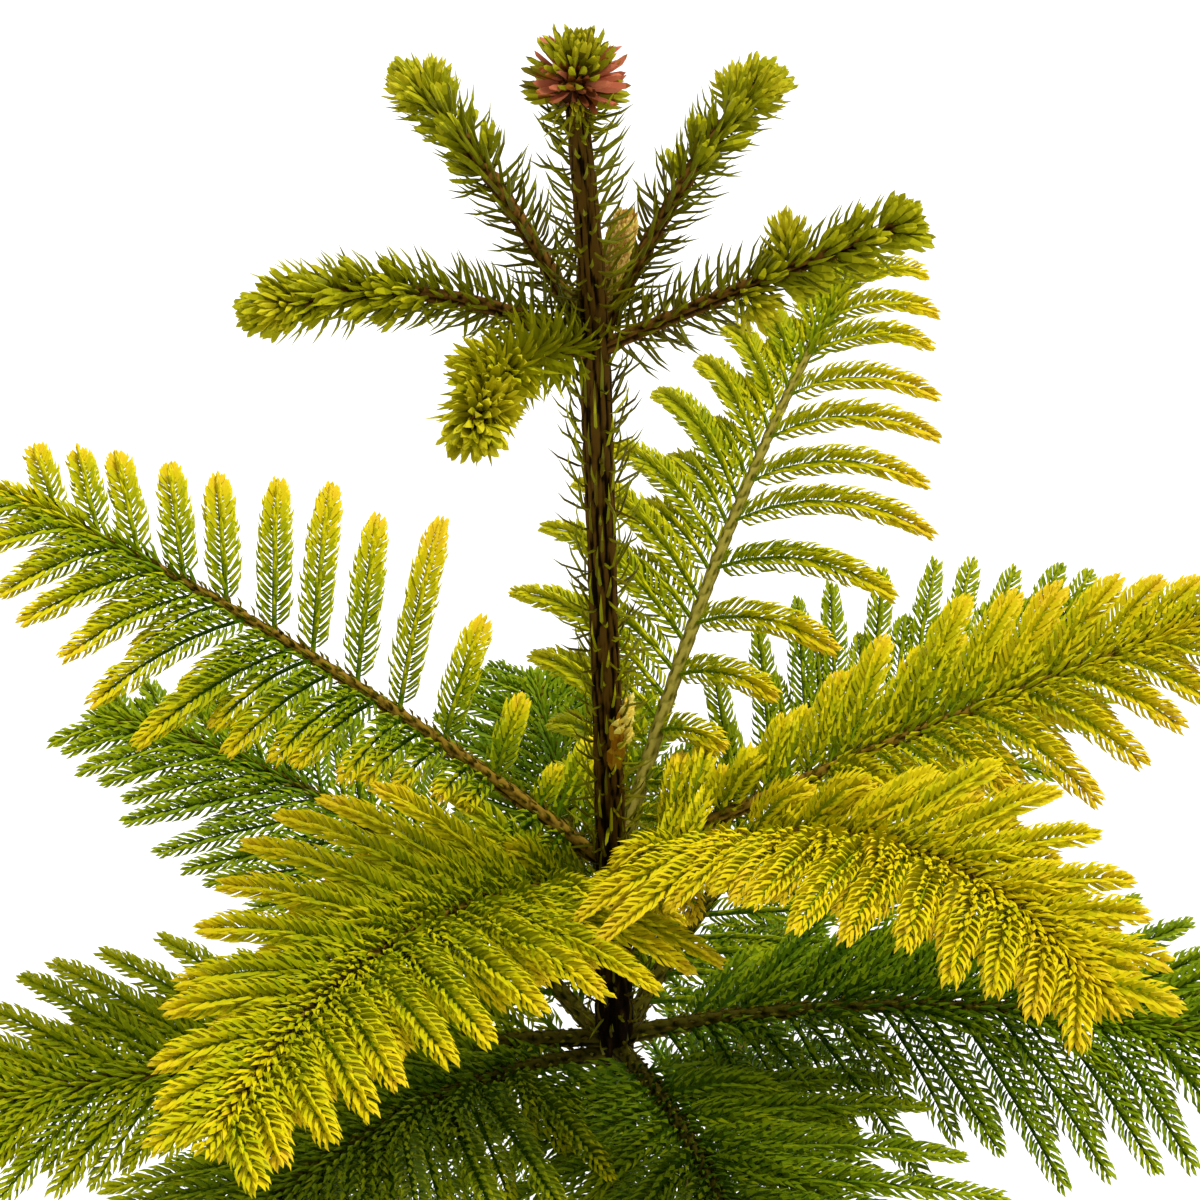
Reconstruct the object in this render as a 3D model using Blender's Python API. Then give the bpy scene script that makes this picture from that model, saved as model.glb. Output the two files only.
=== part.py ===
"""Young Norfolk Island pine, rooted in the ground.

One tapering trunk stands on a flat cut.  Four whorls of boughs ring it, and each bough is a bare
limb that runs on into one mass: a stem with a comb of needle-clad twigs on either side.
Metres, +Z up, origin at the middle of the trunk's foot.
"""

import math
import random
from collections import namedtuple

import bmesh
import bpy
import numpy as np
from mathutils import Vector

# ---------------------------------------------------------------- driving dimensions
GAP = 0.0003                    # clearance between neighbouring solids
UP = Vector((0, 0, 1))

TRUNK_TOP = 1.285               # height of the leader's tip
TRUNK_SIDES = 12
TRUNK_PROFILE = (               # height, radius
    (0.000, 0.0165), (0.300, 0.0145), (0.660, 0.0110), (0.840, 0.0080),
    (1.000, 0.0069), (1.140, 0.0070), (1.159, 0.0074), (1.172, 0.0062), (1.285, 0.0046),
)
TRUNK_RINGS = (0.0, 0.012, 0.030, 0.060, 0.110, 0.200, 0.300, 0.480, 0.660, 0.750, 0.840, 0.920, 1.000,
               1.080, 1.140, 1.159, 1.172, 1.230, TRUNK_TOP)
FLARE_SPREAD = 0.013            # how far the root flare adds to the radius at the ground
FLARE_HEIGHT = 0.040            # height over which the flare dies away
FLARE_LOBES = 5
SWEEP = 0.0090                  # sideways bow of the trunk below the top whorl
SWEEP_NODE = 1.070              # height where the bow crosses back to the other side
LEADER_LEAN = 0.010             # how far the leader's tip leans towards -X
TOP_WHORL = 1.159

BOUGH_SIDES = 5
ROOT_SWELL = 1.15               # how much thicker a bough is where it leaves the trunk
STEM_SWELL = 1.15               # how much thicker a mass's stem is than its limb, for its bark of needles
STAGGER = 0.0075                # alternate boughs of a whorl leave the trunk this much higher or lower
STEM_SIDES = 4
STEM_RINGS = 8
STEM_END = 0.985                # where along a limb its stem stops, inside the end spray
HALF_CLEARANCE = 0.0080         # how far a twig's middle keeps from the edge of its mass's space
SHORTEST_TWIG = 0.026
TWIG_STEP = 0.010               # spacing of the points that test a twig's room
FIRST_SHARE = 0.34              # share of a bough over which its first twigs come back to the rule
SPRAY_RIDGE = 0.0014            # height of a needle spray's ridge above its twig
SPRAY_TEETH = ((0.0, 0.0), (0.50, 1.0), (0.56, 0.48), (0.96, 0.90))    # place along, share of width
END_SPRAY = ((0.0, 0.0), (0.90, 0.90))

# A bough's azimuth, reach and rise, the arch and sideways bend of its middle, the roll of its comb,
# its claim on the space that it shares with its neighbours, the scale of its twigs, their droop
# beside its whorl's, how many degrees wider they open on its left and on its right, and how many
# more its first twigs do, on the left or, where that is negative, on the right.
Bough = namedtuple("Bough", "azimuth reach rise arch bend roll claim scale droop left right first",
                   defaults=(0, 1.0, 1.0, 1.0, 0, 0, 0))

# Each whorl: height on the trunk, radii of a bough at the trunk and at its tip, share of the reach
# that is bare limb, twigs on a side, longest twig, where along the bough twigs start to shorten,
# angle of twigs to the stem at foot and tip, raise of the twigs above the bough, their droop and
# the half width of a needle spray.
WHORLS = {
    "upper": dict(
        height=0.806, root_radius=0.0041, tip_radius=0.0013, bare=0.10, twigs=12, longest=0.140,
        taper_from=0.32, spread=(74, 38), raised=24, droop=0.30, half_width=0.0080,
        boughs=(
            Bough(7, 0.332, 0.155, 0.018, -0.008, -6, 0.9, 0.90, 1.0, -14, -4),
            Bough(65, 0.358, 0.196, 0.028, 0.007, 10, 1.2, 1.18, 1.8, -18, 2),
            Bough(160, 0.344, 0.168, 0.020, 0.001, 8),
            Bough(239, 0.331, 0.156, 0.032, -0.020, 2, 1.6, 0.84, 1.0, 0, -6, 32),
            Bough(314, 0.312, 0.165, 0.049, 0.025, 0, 0.9, 0.80, 1.0, 8, 0, -30),
        ),
    ),
    "middle": dict(
        height=0.660, root_radius=0.0048, tip_radius=0.0014, bare=0.12, twigs=12, longest=0.138,
        taper_from=0.48, spread=(52, 34), raised=4, droop=0.14, half_width=0.0072,
        boughs=(
            Bough(350, 0.379, 0.064, 0.022, 0.012, -3, 1.0, 1.0, 1.0, 0, 9),
            Bough(41, 0.400, 0.107, 0.022, 0.034, -20, 1.0, 1.05),
            Bough(100, 0.310, 0.000, 0.016, 0.000),
            Bough(148, 0.385, 0.075, 0.032, -0.020, 0, 1.0, 0.90),
            Bough(194, 0.385, 0.052, 0.012, -0.002, 8, 0.9),
            Bough(227, 0.384, 0.071, 0.045, -0.019, -12, 1.5, 1.0, 1.0, 0, 0, 24),
            Bough(283, 0.369, 0.087, 0.033, 0.017, 0, 1.5, 1.08, 1.0, 20, 8, -36),
        ),
    ),
    "lower": dict(
        height=0.300, root_radius=0.0058, tip_radius=0.0015, bare=0.15, twigs=10, longest=0.138,
        taper_from=0.42, spread=(54, 36), raised=-2, droop=0.12, half_width=0.0078,
        boughs=(
            Bough(358, 0.405, 0.040, 0.030, 0.008), Bough(70, 0.395, 0.048, 0.028, -0.010),
            Bough(142, 0.400, 0.040, 0.032, 0.012), Bough(214, 0.410, 0.046, 0.030, -0.008),
            Bough(286, 0.398, 0.047, 0.028, 0.010),
        ),
    ),
}

# The top whorl's shoots: azimuth, reach, rise, arch, bend, and their side shoots as
# (place along the shoot, turn from it in degrees, raise in degrees, length).
TOP_SHOOTS = (
    (0, 0.136, 0.068, 0.004, -0.004, ((0.62, 70, 62, 0.018), (0.46, -60, -30, 0.016))),
    (54, 0.135, 0.074, 0.015, 0.000, ((0.82, 34, 24, 0.015), (0.84, -34, 20, 0.015))),
    (129, 0.137, 0.075, 0.022, 0.005, ((0.82, 34, 24, 0.015), (0.84, -34, 20, 0.015))),
    (188, 0.150, 0.034, 0.020, -0.001, ((0.86, 34, 30, 0.014),)),
    (250, 0.138, 0.053, 0.010, -0.012, ((0.52, -40, 10, 0.022), (0.80, 40, 16, 0.014))),
)
SHOOT_ROOT_RADIUS = 0.0032
SHOOT_TIP_RADIUS = 0.0026
SHOOT_END_RADIUS = 0.0032       # blunt end of a shoot's green tip
SHOOT_SWELLING = 0.0038         # how much the green tip swells beyond the stem
SHOOT_BARE = 0.24
SHOOT_NEEDLES = 16
SIDE_SHOOT_RADII = (0.0018, 0.0040, 0.0026)
NEEDLE_LENGTH = 0.016
NEEDLE_THICK = 0.0021
TIP_NEEDLE_LENGTH = 0.020
TIP_NEEDLE_THICK = 0.0026
TIP_NEEDLES = 5

# The terminal bud's core as (height, radius), and its rows of scales as (height, count, opening in
# degrees, length, thickness).
BUD_PROFILE = ((0.000, 0.0044), (0.006, 0.0076), (0.014, 0.0082), (0.022, 0.0048), (0.026, 0.0020))
BUD_ROWS = ((0.007, 8, 78, 0.021, 0.0034), (0.012, 8, 50, 0.021, 0.0036), (0.017, 6, 22, 0.020, 0.0036))
BUD_SIDES = 8
SIDE_BUD_HEIGHT = 0.054         # dormant bud behind the leader, at the top whorl
SIDE_BUD_RADIUS = 0.0066
SIDE_BUD_AZIMUTH = 88
SIDE_BUD_LEAN = 0.20            # how far the dormant bud leans towards +X, as a slope
SIDE_BUD_STALK = 0.0022
SIDE_BUD_ROOM = 0.003           # how far needles keep from the dormant bud

GOLDEN_TURN = math.radians(137.508)


# ---------------------------------------------------------------- materials
def plain_material(name, colour, roughness):
    material = bpy.data.materials.new(name)
    material.use_nodes = True
    shader = material.node_tree.nodes["Principled BSDF"]
    shader.inputs["Base Color"].default_value = (*colour, 1.0)
    shader.inputs["Roughness"].default_value = roughness
    shader.inputs["Metallic"].default_value = 0.0
    material.diffuse_color = (*colour, 1.0)
    return material


def make_materials():
    return {
        "trunk_bark": plain_material("trunk_bark", (0.105, 0.062, 0.028), 0.85),
        "bough_bark": plain_material("bough_bark", (0.150, 0.095, 0.032), 0.80),
        "top_needles": plain_material("top_needles", (0.230, 0.250, 0.035), 0.55),
        "upper_needles": plain_material("upper_needles", (0.360, 0.400, 0.030), 0.55),
        "middle_needles": plain_material("middle_needles", (0.075, 0.150, 0.022), 0.55),
        "lower_needles": plain_material("lower_needles", (0.060, 0.125, 0.022), 0.55),
        "bud_scales": plain_material("bud_scales", (0.340, 0.120, 0.050), 0.55),
        "side_bud_scales": plain_material("side_bud_scales", (0.520, 0.360, 0.210), 0.65),
    }


# ---------------------------------------------------------------- mesh helpers
def loft(rings, pointed=False, split=False):
    """Closed mesh through rings of equal count.

    A pointed loft ends in one vertex; a split one has its bent sides cut into flat triangles.
    """
    mesh = bmesh.new()
    loops = [[mesh.verts.new(p) for p in ring] for ring in rings]
    for lower, upper in zip(loops, loops[1:]):
        if len(upper) == 1:
            continue
        count = len(lower)
        for i in range(count):
            j = (i + 1) % count
            mesh.faces.new((lower[i], lower[j], upper[j], upper[i]))
    mesh.faces.new(list(reversed(loops[0])))
    if pointed:
        apex = loops[-1][0]
        last = loops[-2]
        for i in range(len(last)):
            mesh.faces.new((last[i], last[(i + 1) % len(last)], apex))
    else:
        mesh.faces.new(loops[-1])
    if split:
        bmesh.ops.triangulate(mesh, faces=mesh.faces[:])
    bmesh.ops.recalc_face_normals(mesh, faces=mesh.faces[:])
    return mesh


def add_object(name, mesh, material):
    data = bpy.data.meshes.new(name)
    mesh.to_mesh(data)
    mesh.free()
    data.materials.append(material)
    item = bpy.data.objects.new(name, data)
    bpy.context.scene.collection.objects.link(item)
    return item


def across(tangent):
    """Level side vector and the normal above a limb that runs along the tangent."""
    side = UP.cross(tangent).normalized()
    return side, tangent.cross(side).normalized()


def round_ring(centre, tangent, radius, sides, turn=0.0):
    side, above = across(tangent)
    angles = [turn + 2 * math.pi * i / sides for i in range(sides)]
    return [centre + radius * (math.cos(a) * side + math.sin(a) * above) for a in angles]


def tapered_tube(points, tangents, radii, sides, turn=0.0, split=False):
    rings = [round_ring(p, t, r, sides, turn) for p, t, r in zip(points, tangents, radii)]
    return loft(rings, split=split)


def union(name, stem_mesh, part_meshes, material, solver="EXACT"):
    """One solid from a stem and everything rooted in it, by a Boolean on a collection."""
    stem = add_object(name, stem_mesh, material)
    group = bpy.data.collections.new(name + "_parts")
    bpy.context.scene.collection.children.link(group)
    for i, mesh in enumerate(part_meshes):
        piece = add_object(f"{name}_part_{i}", mesh, material)
        bpy.context.scene.collection.objects.unlink(piece)
        group.objects.link(piece)
    join = stem.modifiers.new("join", "BOOLEAN")
    join.operation = "UNION"
    join.solver = solver
    join.operand_type = "COLLECTION"
    join.collection = group
    bpy.context.view_layer.update()
    joined = bpy.data.meshes.new_from_object(stem.evaluated_get(bpy.context.evaluated_depsgraph_get()))
    stem.modifiers.clear()
    stem.data = joined
    for piece in list(group.objects):
        bpy.data.objects.remove(piece, do_unlink=True)
    bpy.data.collections.remove(group)
    return stem


# ---------------------------------------------------------------- trunk
def trunk_radius(z):
    heights, radii = zip(*TRUNK_PROFILE)
    return float(np.interp(z, heights, radii))


def trunk_axis(z):
    low = SWEEP * math.sin(math.pi * min(z, TOP_WHORL) / SWEEP_NODE)
    share = max(0.0, z - TOP_WHORL) / (TRUNK_TOP - TOP_WHORL)
    return low - (LEADER_LEAN + low) * share ** 1.5


def trunk_ring(z):
    ring = []
    for i in range(TRUNK_SIDES):
        angle = 2 * math.pi * i / TRUNK_SIDES
        lobes = 0.8 + 0.2 * math.cos(FLARE_LOBES * angle)
        radius = trunk_radius(z) + FLARE_SPREAD * lobes * math.exp(-z / FLARE_HEIGHT)
        ring.append(Vector((trunk_axis(z) + radius * math.cos(angle), radius * math.sin(angle), z)))
    return ring


def make_trunk(materials):
    trunk = add_object("trunk", loft([trunk_ring(z) for z in TRUNK_RINGS]), materials["trunk_bark"])
    trunk.data.shade_smooth()
    trunk.data.set_sharp_from_angle(angle=math.radians(40))


# ---------------------------------------------------------------- limbs
class Limb:
    """A bough and the stem that carries on from it, as one arched line from the trunk's axis."""

    def __init__(self, height, azimuth, reach, rise, arch, bend, root_radius, tip_radius):
        self.out = Vector((math.cos(math.radians(azimuth)), math.sin(math.radians(azimuth)), 0))
        self.sideways = UP.cross(self.out)
        self.foot = Vector((trunk_axis(height), 0, height))
        self.reach, self.rise, self.arch, self.bend = reach, rise, arch, bend
        self.root_radius, self.tip_radius = root_radius, tip_radius

    def point(self, t):
        bow = 4 * t * (1 - t)
        return (self.foot + self.out * self.reach * t + self.sideways * self.bend * bow
                + UP * (self.rise * t + self.arch * bow))

    def tangent(self, t):
        step = 0.01
        return (self.point(t + step) - self.point(t - step)).normalized()

    def radius(self, t):
        return self.root_radius + (self.tip_radius - self.root_radius) * t

    def length(self):
        return (self.point(1) - self.point(0)).length


def bough_mesh(limb, bare, sides=BOUGH_SIDES):
    """Bare limb from the trunk's side, where its end stands upright, to the foot of its mass."""
    start = (trunk_radius(limb.foot.z) + GAP) / limb.reach
    centre = limb.point(start)
    centre -= limb.sideways * limb.sideways.dot(centre - limb.foot)
    root = round_ring(centre, limb.out, limb.radius(start) * ROOT_SWELL, sides)
    stations = [start + (bare - start) * k / 3 for k in (1, 2, 3)]
    rings = [round_ring(limb.point(t), limb.tangent(t), limb.radius(t), sides) for t in stations]
    return loft([root] + rings)


def stem_stations(limb, bare):
    """Places of the stem's rings; it starts a hair's breadth beyond the bough's tip."""
    start = bare + GAP / limb.length()
    return [start + (STEM_END - start) * k / (STEM_RINGS - 1) for k in range(STEM_RINGS)]


def on_stem(limb, bare, t):
    """Middle of the faceted stem at t, where a twig is rooted."""
    stations = stem_stations(limb, bare)
    k = max(j for j in range(STEM_RINGS - 1) if stations[j] <= max(t, stations[0]))
    share = (t - stations[k]) / (stations[k + 1] - stations[k])
    return limb.point(stations[k]).lerp(limb.point(stations[k + 1]), share)


def stem_mesh(limb, bare):
    stations = stem_stations(limb, bare)
    return tapered_tube([limb.point(t) for t in stations], [limb.tangent(t) for t in stations],
                        [STEM_SWELL * limb.radius(t) for t in stations], STEM_SIDES, math.pi / 4)


# ---------------------------------------------------------------- twigs of the lower three whorls
class Twig:
    """A needle-clad twig: a gently drooping line and the comb plane that its spray lies in."""

    def __init__(self, root, direction, flat, length, droop, half_width, root_radius):
        self.root, self.direction, self.flat = root, direction, flat
        self.length, self.droop = length, droop
        self.half_width, self.root_radius = half_width, root_radius

    def point(self, u):
        return self.root + self.length * (self.direction * u - UP * self.droop * u * u)

    def samples(self):
        count = max(3, round(self.length / TWIG_STEP))
        return np.array([self.point(0.25 + 0.75 * k / count) for k in range(count + 1)])


def twig_length(whorl, t):
    opening = min(1.0, 0.75 + 0.25 * (t - whorl["bare"]) / 0.15)
    past = max(0.0, (t - whorl["taper_from"]) / (1.0 - whorl["taper_from"]))
    return whorl["longest"] * opening * (1.0 - 0.74 * past ** 1.15)


def stagger(k, count):
    """Height of a whorl's bough beside the others': up and down in turn, with an odd last one level."""
    return 0.0 if k == count - 1 and count % 2 else STAGGER * (-1) ** k


def whorl_limbs(whorl):
    count = len(whorl["boughs"])
    return [Limb(whorl["height"] + stagger(k, count), bough.azimuth, bough.reach, bough.rise,
                 bough.arch, bough.bend, whorl["root_radius"], whorl["tip_radius"])
            for k, bough in enumerate(whorl["boughs"])]


def twig_from(limb, whorl, bough, side, t, dice):
    """One twig at t along the limb, on its left (side 1) or right (side -1)."""
    tangent = limb.tangent(t)
    level, above = across(tangent)
    wide, narrow = whorl["spread"]
    wider = bough.left if side > 0 else bough.right
    wider += max(0, side * bough.first) * max(0.0, 1 - (t - whorl["bare"]) / FIRST_SHARE)
    opening = math.radians(wide + (narrow - wide) * t ** 1.5 + wider + dice.uniform(-3, 3))
    raised = math.radians(whorl["raised"] * (1.1 - 0.5 * t) - side * bough.roll + dice.uniform(-3, 3))
    outward = level * side * math.cos(raised) + above * math.sin(raised)
    direction = tangent * math.cos(opening) + outward * math.sin(opening)
    flat = outward * math.cos(opening) - tangent * math.sin(opening)
    length = twig_length(whorl, t) * bough.scale * dice.uniform(0.93, 1.05)
    return Twig(on_stem(limb, whorl["bare"], t), direction, flat, length,
                whorl["droop"] * bough.droop, whorl["half_width"], 0.6 * limb.radius(t))


def distance_to(line, points):
    return np.linalg.norm(points[:, None, :] - line[None, :, :], axis=2).min(axis=1)


def in_own_space(points, owner, lines, claims):
    """Whether every point lies nearer its own stem than a neighbour's, weighed by their claims."""
    own = distance_to(lines[owner], points) + HALF_CLEARANCE
    for other, line in enumerate(lines):
        if other == owner:
            continue
        theirs = distance_to(line, points) - HALF_CLEARANCE
        if (own * claims[other] >= theirs * claims[owner]).any():
            return False
    return True


def fitted(twig, owner, lines, claims):
    """The twig, shortened to its mass's own space, or None where it has no room."""
    while twig.length >= SHORTEST_TWIG:
        if in_own_space(twig.samples(), owner, lines, claims):
            return twig
        twig.length *= 0.93
    return None


def grow_mass(name, whorl, limbs, owner):
    """Twigs of one bough, from the trunk outwards, on either side in turn."""
    lines = [np.array([limb.point(j / 40) for j in range(43)]) for limb in limbs]
    claims = [bough.claim for bough in whorl["boughs"]]
    dice = random.Random(f"{name}-{owner}")
    count = whorl["twigs"]
    twigs = []
    for i in range(count):
        for side in (1, -1):
            place = (i + 0.35 + 0.25 * side + dice.uniform(-0.12, 0.12)) / count
            t = whorl["bare"] + 0.02 + (0.955 - whorl["bare"]) * max(0.0, place)
            twig = twig_from(limbs[owner], whorl, whorl["boughs"][owner], side, t, dice)
            twigs.append(fitted(twig, owner, lines, claims))
    return [twig for twig in twigs if twig]


def spray_mesh(twig, stations=SPRAY_TEETH):
    """Toothed blade of a twig's needles: two swept barbs a side, a ridge and a blunt end."""
    rings = []
    for u, width in stations:
        centre = twig.point(u)
        ahead = (twig.point(u + 0.01) - twig.point(u - 0.01)).normalized()
        above = ahead.cross(twig.flat).normalized()
        if above.z < 0:
            above = -above
        half = twig.root_radius + (twig.half_width - twig.root_radius) * width
        ridge = 0.9 * twig.root_radius + SPRAY_RIDGE * width
        rings.append([centre + twig.flat * half - above * 0.45 * ridge,
                      centre - twig.flat * half - above * 0.45 * ridge,
                      centre + above * ridge])
    return loft(rings)


def end_spray(limb, whorl):
    """The spray that closes the stem's own tip."""
    t = 0.90
    level, _ = across(limb.tangent(t))
    length = 1.05 * (limb.point(1) - limb.point(t)).length
    return Twig(on_stem(limb, whorl["bare"], t), limb.tangent(t), level, length, 0.05,
                whorl["half_width"], 0.6 * limb.radius(t))


def make_whorl(name, whorl, materials):
    limbs = whorl_limbs(whorl)
    for k, limb in enumerate(limbs):
        bough = add_object(f"{name}_bough_{k + 1}", bough_mesh(limb, whorl["bare"]),
                           materials["bough_bark"])
        bough.data.shade_smooth()
        bough.data.set_sharp_from_angle(angle=math.radians(50))
        sprays = [spray_mesh(twig) for twig in grow_mass(name, whorl, limbs, k)]
        sprays.append(spray_mesh(end_spray(limb, whorl), END_SPRAY))
        union(f"{name}_mass_{k + 1}", stem_mesh(limb, whorl["bare"]), sprays,
              materials[f"{name}_needles"])


# ---------------------------------------------------------------- top whorl
def needle_mesh(root, direction, length, thick):
    """Three-sided pointed needle or bud scale."""
    side, above = across(direction)
    ring = [root + thick * (math.cos(a) * side + math.sin(a) * above)
            for a in (0.5, 0.5 + 2 * math.pi / 3, 0.5 + 4 * math.pi / 3)]
    return loft([ring, [root + direction * length]], pointed=True)


def lean_out(tangent, turn, opening):
    """Direction at an angle to the tangent, turned about it."""
    side, above = across(tangent)
    outward = side * math.cos(turn) + above * math.sin(turn)
    return (tangent * math.cos(opening) + outward * math.sin(opening)).normalized()


def shoot_core(limb, start, stop=0.97, rings=7):
    """Core of a young shoot: thin brown stem that swells into a blunt green tip."""
    stations = [start + (stop - start) * k / (rings - 1) for k in range(rings)]
    radii = []
    for k, t in enumerate(stations):
        swelling = SHOOT_SWELLING * max(0.0, (t - 0.55) / 0.45)
        radii.append(limb.radius(t) + swelling if k < rings - 1 else SHOOT_END_RADIUS)
    return tapered_tube([limb.point(t) for t in stations], [limb.tangent(t) for t in stations],
                        radii, 5, split=True)


def clear_of_side_bud(root, tip):
    """Whether a needle keeps off the dormant bud, tested at its middle and its tip."""
    line = side_bud_line()[2]
    along = line[-1] - line[1]
    for place in (root.lerp(tip, 0.5), tip):
        share = min(1.0, max(0.0, (place - line[1]).dot(along) / along.length_squared))
        if (place - line[1] - along * share).length < SIDE_BUD_RADIUS + SIDE_BUD_ROOM:
            return False
    return True


def shoot_needles(limb, start, dice):
    needles = []
    for i in range(SHOOT_NEEDLES):
        t = start + 0.03 + (0.90 - start) * (i + 0.5) / SHOOT_NEEDLES
        opening = math.radians(62 - 24 * t + dice.uniform(-5, 5))
        direction = lean_out(limb.tangent(t), i * GOLDEN_TURN, opening)
        length = NEEDLE_LENGTH * dice.uniform(0.85, 1.1) + limb.radius(t)
        if clear_of_side_bud(limb.point(t), limb.point(t) + direction * length):
            needles.append(needle_mesh(limb.point(t), direction, length, NEEDLE_THICK))
    for i in range(TIP_NEEDLES):
        direction = lean_out(limb.tangent(0.94), i * 2 * math.pi / TIP_NEEDLES + 0.3, math.radians(24))
        needles.append(needle_mesh(limb.point(0.92), direction, TIP_NEEDLE_LENGTH, TIP_NEEDLE_THICK))
    return needles


def side_shoot(limb, place, turn, raised, length, dice):
    """Short side shoot: a stubby core that a few needles stand out of."""
    level, above = across(limb.tangent(place))
    side = 1 if turn > 0 else -1
    angle = math.radians(abs(turn))
    lift = math.radians(raised)
    outward = level * side * math.cos(lift) + above * math.sin(lift)
    direction = (limb.tangent(place) * math.cos(angle) + outward * math.sin(angle)).normalized()
    root = limb.point(place)
    half = root + direction * length * 0.6
    tip = root + direction * length
    meshes = [tapered_tube([root, half, tip], [direction] * 3, SIDE_SHOOT_RADII, 5, split=True)]
    count = 3 + round(length / 0.012)
    for i in range(count):
        start = root + direction * length * (0.30 + 0.62 * i / count)
        spike = lean_out(direction, i * GOLDEN_TURN, math.radians(48 + dice.uniform(-5, 5)))
        meshes.append(needle_mesh(start, spike, NEEDLE_LENGTH * 0.95, NEEDLE_THICK))
    return meshes


def make_top_whorl(materials):
    for k, (azimuth, reach, rise, arch, bend, sides) in enumerate(TOP_SHOOTS):
        limb = Limb(TOP_WHORL, azimuth, reach, rise, arch, bend, SHOOT_ROOT_RADIUS, SHOOT_TIP_RADIUS)
        bough = add_object(f"top_bough_{k + 1}", bough_mesh(limb, SHOOT_BARE),
                           materials["bough_bark"])
        bough.data.shade_smooth()
        start = SHOOT_BARE + GAP / limb.length()
        dice = random.Random(f"shoot-{k}")
        spikes = shoot_needles(limb, start, dice)
        for place, turn, raised, length in sides:
            spikes += side_shoot(limb, place, turn, raised, length, dice)
        union(f"top_mass_{k + 1}", shoot_core(limb, start), spikes, materials["top_needles"],
              "MANIFOLD")


# ---------------------------------------------------------------- buds
def level_ring(centre, radius, sides):
    angles = [2 * math.pi * i / sides for i in range(sides)]
    return [centre + radius * Vector((math.cos(a), math.sin(a), 0)) for a in angles]


def make_terminal_bud(materials):
    """Rosette on the leader's tip: a short core, spread scales below and upright ones above."""
    foot = Vector((trunk_axis(TRUNK_TOP), 0, TRUNK_TOP + GAP))
    rings = [level_ring(foot + UP * rise, radius, BUD_SIDES) for rise, radius in BUD_PROFILE]
    scales = []
    for row, (rise, count, opening, length, thick) in enumerate(BUD_ROWS):
        for i in range(count):
            turn = 2 * math.pi * (i + 0.5 * row) / count
            tilt = math.radians(opening)
            direction = Vector((math.cos(turn) * math.sin(tilt), math.sin(turn) * math.sin(tilt),
                                math.cos(tilt)))
            scales.append(needle_mesh(foot + UP * rise, direction, length, thick))
    union("terminal_bud", loft(rings), scales, materials["bud_scales"])


def side_bud_line():
    """Middle of the dormant bud: out from the trunk on a short stalk, then up."""
    turn = math.radians(SIDE_BUD_AZIMUTH)
    out = Vector((math.cos(turn), math.sin(turn), 0))
    height = TOP_WHORL + 0.004
    clear = trunk_radius(height - SIDE_BUD_STALK) + GAP
    start = Vector((trunk_axis(height), 0, height)) + out * clear
    elbow = start + out * 0.008 + UP * 0.004
    slope = (UP + out * 0.08 + Vector((SIDE_BUD_LEAN, 0, 0))).normalized()
    return out, slope, [start, elbow] + [elbow + slope * SIDE_BUD_HEIGHT * s
                                         for s in (0.18, 0.5, 0.82, 1.0)]


def make_side_bud(materials):
    out, slope, points = side_bud_line()
    tangents = [out, (out + UP * 0.6).normalized()] + [slope] * 4
    radii = [SIDE_BUD_STALK, 1.1 * SIDE_BUD_STALK]
    radii += [SIDE_BUD_RADIUS * share for share in (0.8, 1.0, 0.9, 0.4)]
    bud = tapered_tube(points, tangents, radii, 8)
    add_object("side_bud", bud, materials["side_bud_scales"])


def main():
    for item in list(bpy.data.objects):
        bpy.data.objects.remove(item, do_unlink=True)
    materials = make_materials()
    make_trunk(materials)
    make_top_whorl(materials)
    for name, whorl in WHORLS.items():
        make_whorl(name, whorl, materials)
    make_terminal_bud(materials)
    make_side_bud(materials)


main()
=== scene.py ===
"""Young Norfolk Island pine: bark relief, needle-clad twigs, buds, floor, light and camera.

The plant grows by the rule of its solids, carried on to finer twigs and single needles.
Metres, +Z up, origin at the middle of the trunk's foot.
"""

import math
import random
from collections import namedtuple

import bpy
import numpy as np
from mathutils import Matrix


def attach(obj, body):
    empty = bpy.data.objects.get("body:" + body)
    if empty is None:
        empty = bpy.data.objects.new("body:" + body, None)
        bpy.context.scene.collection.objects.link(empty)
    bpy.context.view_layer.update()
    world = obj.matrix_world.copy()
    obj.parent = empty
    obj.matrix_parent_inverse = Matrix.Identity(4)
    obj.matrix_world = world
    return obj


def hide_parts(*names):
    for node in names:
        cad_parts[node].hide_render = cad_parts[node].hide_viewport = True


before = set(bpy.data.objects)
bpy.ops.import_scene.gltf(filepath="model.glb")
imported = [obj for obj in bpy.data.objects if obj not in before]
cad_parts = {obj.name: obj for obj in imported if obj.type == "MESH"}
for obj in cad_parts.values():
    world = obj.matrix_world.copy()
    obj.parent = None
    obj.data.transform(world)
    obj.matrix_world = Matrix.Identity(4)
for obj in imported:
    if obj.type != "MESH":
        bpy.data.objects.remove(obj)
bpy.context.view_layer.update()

BODY = "root"

# ------ the plant's rule, as in its source
GAP = 0.0003                # clearance between neighbouring solids
UP = np.array([0.0, 0.0, 1.0])

TRUNK_TOP = 1.285           # height of the leader's tip
TRUNK_PROFILE = (           # height, radius
    (0.000, 0.0165), (0.300, 0.0145), (0.660, 0.0110), (0.840, 0.0080),
    (1.000, 0.0069), (1.140, 0.0070), (1.159, 0.0074), (1.172, 0.0062), (1.285, 0.0046),
)
FLARE_SPREAD = 0.013        # how far the root flare adds to the radius at the ground
FLARE_HEIGHT = 0.040        # height over which the flare dies away
FLARE_LOBES = 5
LOBE_DEPTH = 0.2            # how much of the flare its lobes swing by
SWEEP = 0.0090              # sideways bow of the trunk below the top whorl
SWEEP_NODE = 1.070          # height where the bow crosses back to the other side
LEADER_LEAN = 0.010         # how far the leader's tip leans towards -X
TOP_WHORL = 1.159

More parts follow.
